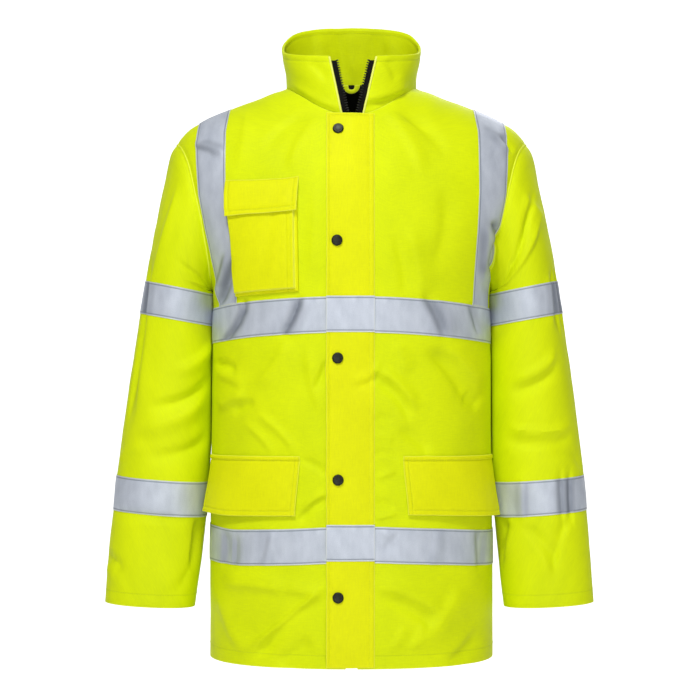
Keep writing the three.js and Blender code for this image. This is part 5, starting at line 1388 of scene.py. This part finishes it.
# Snap caps: a turned dome with a shallow dish, seated on the storm flap
SNAP_PROFILE = [(0, 2.0), (2.6, 2.05), (4.6, 2.25), (5.6, 2.5), (6.4, 2.45), (7.0, 2.1), (7.5, 1.4), (7.75, 0.6),
                (7.6, -0.2), (4, -0.3), (0, -0.3)]
SNAP_SIDES = 48
for i, (snap_x, snap_z) in enumerate(SNAPS):
    away = np.hypot(storm_top[..., 0] - snap_x, storm_top[..., 2] - snap_z)
    row, column = np.unravel_index(np.argmin(away), away.shape)
    seat = storm_top[row, column] + np.array([snap_x, 0, snap_z]) * [1, 0, 1] - storm_top[row, column] * [1, 0, 1]
    axis = body_normals("front", seat[None])[0]
    side = unit(np.cross(axis, [0, 0, 1.0]))
    up = np.cross(side, axis)
    angle = np.linspace(0, 2 * math.pi, SNAP_SIDES, endpoint=False)
    rings = np.stack([
        seat + axis * high + radius * (np.cos(angle)[:, None] * side + np.sin(angle)[:, None] * up)
        for radius, high in SNAP_PROFILE])
    node = f"snap_{i + 1}"
    cap = sheet_piece(f"{node}_cap", rings, rings - seat + axis * 0.01, [METAL], closed=True)
    pieces[node] = weld(cap, closed=True)

# Stitches and zip teeth: Geometry Nodes repeat one small shape along every line
STITCH_PITCH = 3.4
STITCH = {"long": 2.5, "wide": 0.62, "high": 0.42}
TOOTH = {"long": 4.8, "wide": 1.9, "high": 1.8}


def line_mesh(name, lines):
    """Loose edges along lines of points, which carry their outward direction."""
    points = np.concatenate([line for line, _ in lines])
    out = np.concatenate([direction for _, direction in lines])
    edges, first = [], 0
    for line, _ in lines:
        edges += [(first + i, first + i + 1) for i in range(len(line) - 1)]
        first += len(line)
    data = bpy.data.meshes.new(name)
    data.from_pydata([tuple(p) for p in points * MM], edges, [])
    data.attributes.new("out", "FLOAT_VECTOR", "POINT").data.foreach_set("vector", out.astype(np.float32).ravel())
    piece = bpy.data.objects.new(name, data)
    bpy.context.scene.collection.objects.link(piece)
    return piece


def repeat_tree(name, material, shape):
    """Repeats a small shape along curves: its length runs along them and its top faces out."""
    tree = bpy.data.node_groups.new(name, "GeometryNodeTree")
    tree.interface.new_socket("Lines", in_out="INPUT", socket_type="NodeSocketGeometry")
    sockets = {}
    for label in ("Pitch", "Length", "Width", "Height"):
        made = tree.interface.new_socket(label, in_out="INPUT", socket_type="NodeSocketFloat")
        sockets[label] = made.identifier
    tree.interface.new_socket("Mesh", in_out="OUTPUT", socket_type="NodeSocketGeometry")
    given = tree.nodes.new("NodeGroupInput").outputs
    curve = add_node(tree, "GeometryNodeMeshToCurve", {"Mesh": given["Lines"]})
    spaced = add_node(tree, "GeometryNodeResampleCurve", {"Curve": curve.outputs[0], "Length": given["Pitch"]},
                      mode="LENGTH")
    along = add_node(tree, "FunctionNodeAlignRotationToVector", {
        "Vector": add_node(tree, "GeometryNodeInputTangent").outputs[0]}, axis="X")
    facing = add_node(tree, "FunctionNodeAlignRotationToVector", {
        "Rotation": along.outputs[0],
        "Vector": add_node(tree, "GeometryNodeInputNamedAttribute", {"Name": "out"}, data_type="FLOAT_VECTOR").outputs[0],
    }, axis="Z", pivot_axis="X")
    if shape == "stitch":
        one = add_node(tree, "GeometryNodeMeshUVSphere", {"Segments": 5, "Rings": 3, "Radius": 0.5})
    else:
        one = add_node(tree, "GeometryNodeMeshCone", {
            "Vertices": 8, "Radius Top": 0.34, "Radius Bottom": 0.55, "Depth": 1.0})
    size = add_node(tree, "ShaderNodeCombineXYZ", {"X": given["Length"], "Y": given["Width"], "Z": given["Height"]})
    set_on = add_node(tree, "GeometryNodeInstanceOnPoints", {
        "Points": spaced.outputs[0], "Instance": one.outputs[0], "Rotation": facing.outputs[0],
        "Scale": size.outputs[0]})
    real = add_node(tree, "GeometryNodeRealizeInstances", {"Geometry": set_on.outputs[0]})
    smooth_shape = add_node(tree, "GeometryNodeSetShadeSmooth", {"Geometry": real.outputs[0]})
    finished = add_node(tree, "GeometryNodeSetMaterial", {"Geometry": smooth_shape.outputs[0], "Material": material})
    ends = tree.nodes.new("NodeGroupOutput")
    tree.links.new(finished.outputs[0], ends.inputs["Mesh"])
    return tree, sockets


def repeated(name, lines, material, shape, pitch, size):
    source = line_mesh(f"{name}_lines", lines)
    tree, sockets = repeat_tree(name, material, shape)
    modifier = source.modifiers.new("Repeat", "NODES")
    modifier.node_group = tree
    for label, value in (("Pitch", pitch), ("Length", size["long"]), ("Width", size["wide"]), ("Height", size["high"])):
        modifier[sockets[label]] = value * MM
    bpy.context.view_layer.update()
    made = bpy.data.meshes.new_from_object(source.evaluated_get(bpy.context.evaluated_depsgraph_get()))
    source.modifiers.remove(modifier)
    bpy.data.objects.remove(source)
    made.name = name
    piece = bpy.data.objects.new(name, made)
    bpy.context.scene.collection.objects.link(piece)
    return piece


trims = {
    "yellow_stitches": (repeated("yellow_stitches", SEWN["yellow"], YELLOW_THREAD, "stitch", STITCH_PITCH, STITCH),
                        "shell_cloth"),
    "tape_stitches": (repeated("tape_stitches", SEWN["grey"], GREY_THREAD, "stitch", STITCH_PITCH, STITCH),
                      "reflective_tape"),
    "zip_teeth": (repeated("zip_teeth", tooth_lines, TEETH, "tooth", ZIP["pitch"],
                           {"long": TOOTH["wide"], "wide": TOOTH["long"], "high": TOOTH["high"]}), "zip_black"),
}
for piece, slot in trims.values():
    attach(piece, "root")


NARROWEST_SHEET = 0.01
for node, piece in pieces.items():
    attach(piece, "root")
    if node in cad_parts:
        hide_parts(node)
    if node.startswith("snap") or "piping" in node or node == "neck_seam_band":
        continue
    width, length, area = CUTS[piece.name]
    if min(width, length) < NARROWEST_SHEET:
        continue

# Camera
camera = bpy.data.objects.new("camera", bpy.data.cameras.new("camera"))
bpy.context.scene.collection.objects.link(camera)
camera.location = (-0.0021, -2.9, -0.37)
camera.rotation_euler = (math.radians(90), 0, 0)
camera.data.lens = 102.7
bpy.context.scene.camera = camera

# Stage: a pale paper sweep, lit from behind where it rises, as product photographs are taken
paper, paper_tree, paper_shader = new_material("pale_paper_sweep", 0.9, Specular_IOR_Level=0.1)
paper_shader.inputs["Base Color"].default_value = to_linear("#f4f4f2")
paper_shader.inputs["Emission Color"].default_value = (1, 1, 1, 1)
glow = add_node(paper_tree, "ShaderNodeAttribute", attribute_name="glow").outputs["Fac"]
paper_tree.links.new(glow, paper_shader.inputs["Emission Strength"])
SWEEP = [(-6, -1.3, 0), (0.6, -1.3, 0), (1.8, -1.3, 1), (4.2, -1.3, 1), (5.0, -1.2, 1), (5.6, -0.8, 1),
         (6.0, 0, 1), (6.1, 4, 1)]
GLOW = 0.7
sweep_points, sweep_glow = [], []
for y, z, lit in SWEEP:
    for x in (-5, 5):
        sweep_points.append((x * 1000, y * 1000, z * 1000))
        sweep_glow.append(GLOW * lit)
sweep = make_mesh("paper_sweep", sweep_points, [(2 * i, 2 * i + 1, 2 * i + 3, 2 * i + 2) for i in range(len(SWEEP) - 1)],
                  [paper], attributes={"glow": sweep_glow})

world = bpy.data.worlds.new("studio")
bpy.context.scene.world = world
world.use_nodes = True
world.node_tree.nodes["Background"].inputs["Color"].default_value = (1, 1, 1, 1)
world.node_tree.nodes["Background"].inputs["Strength"].default_value = 0.3


def softbox(name, place, aim, size, power):
    light = bpy.data.objects.new(name, bpy.data.lights.new(name, "AREA"))
    light.data.shape, light.data.size, light.data.energy = "SQUARE", size, power
    light.location = place
    light.rotation_euler = (Vector(aim) - Vector(place)).to_track_quat("-Z", "Y").to_euler()
    bpy.context.scene.collection.objects.link(light)


softbox("key_softbox", (-0.5, -2.3, 2.4), (0, 0, -0.4), 0.7, 72)
softbox("front_panel", (0.3, -3.6, -0.3), (0, 0, -0.4), 1.8, 30)
softbox("back_softbox", (1.2, 2.8, 1.6), (0, 0, -0.4), 1.6, 44)
bpy.context.scene.view_settings.view_transform = "Standard"
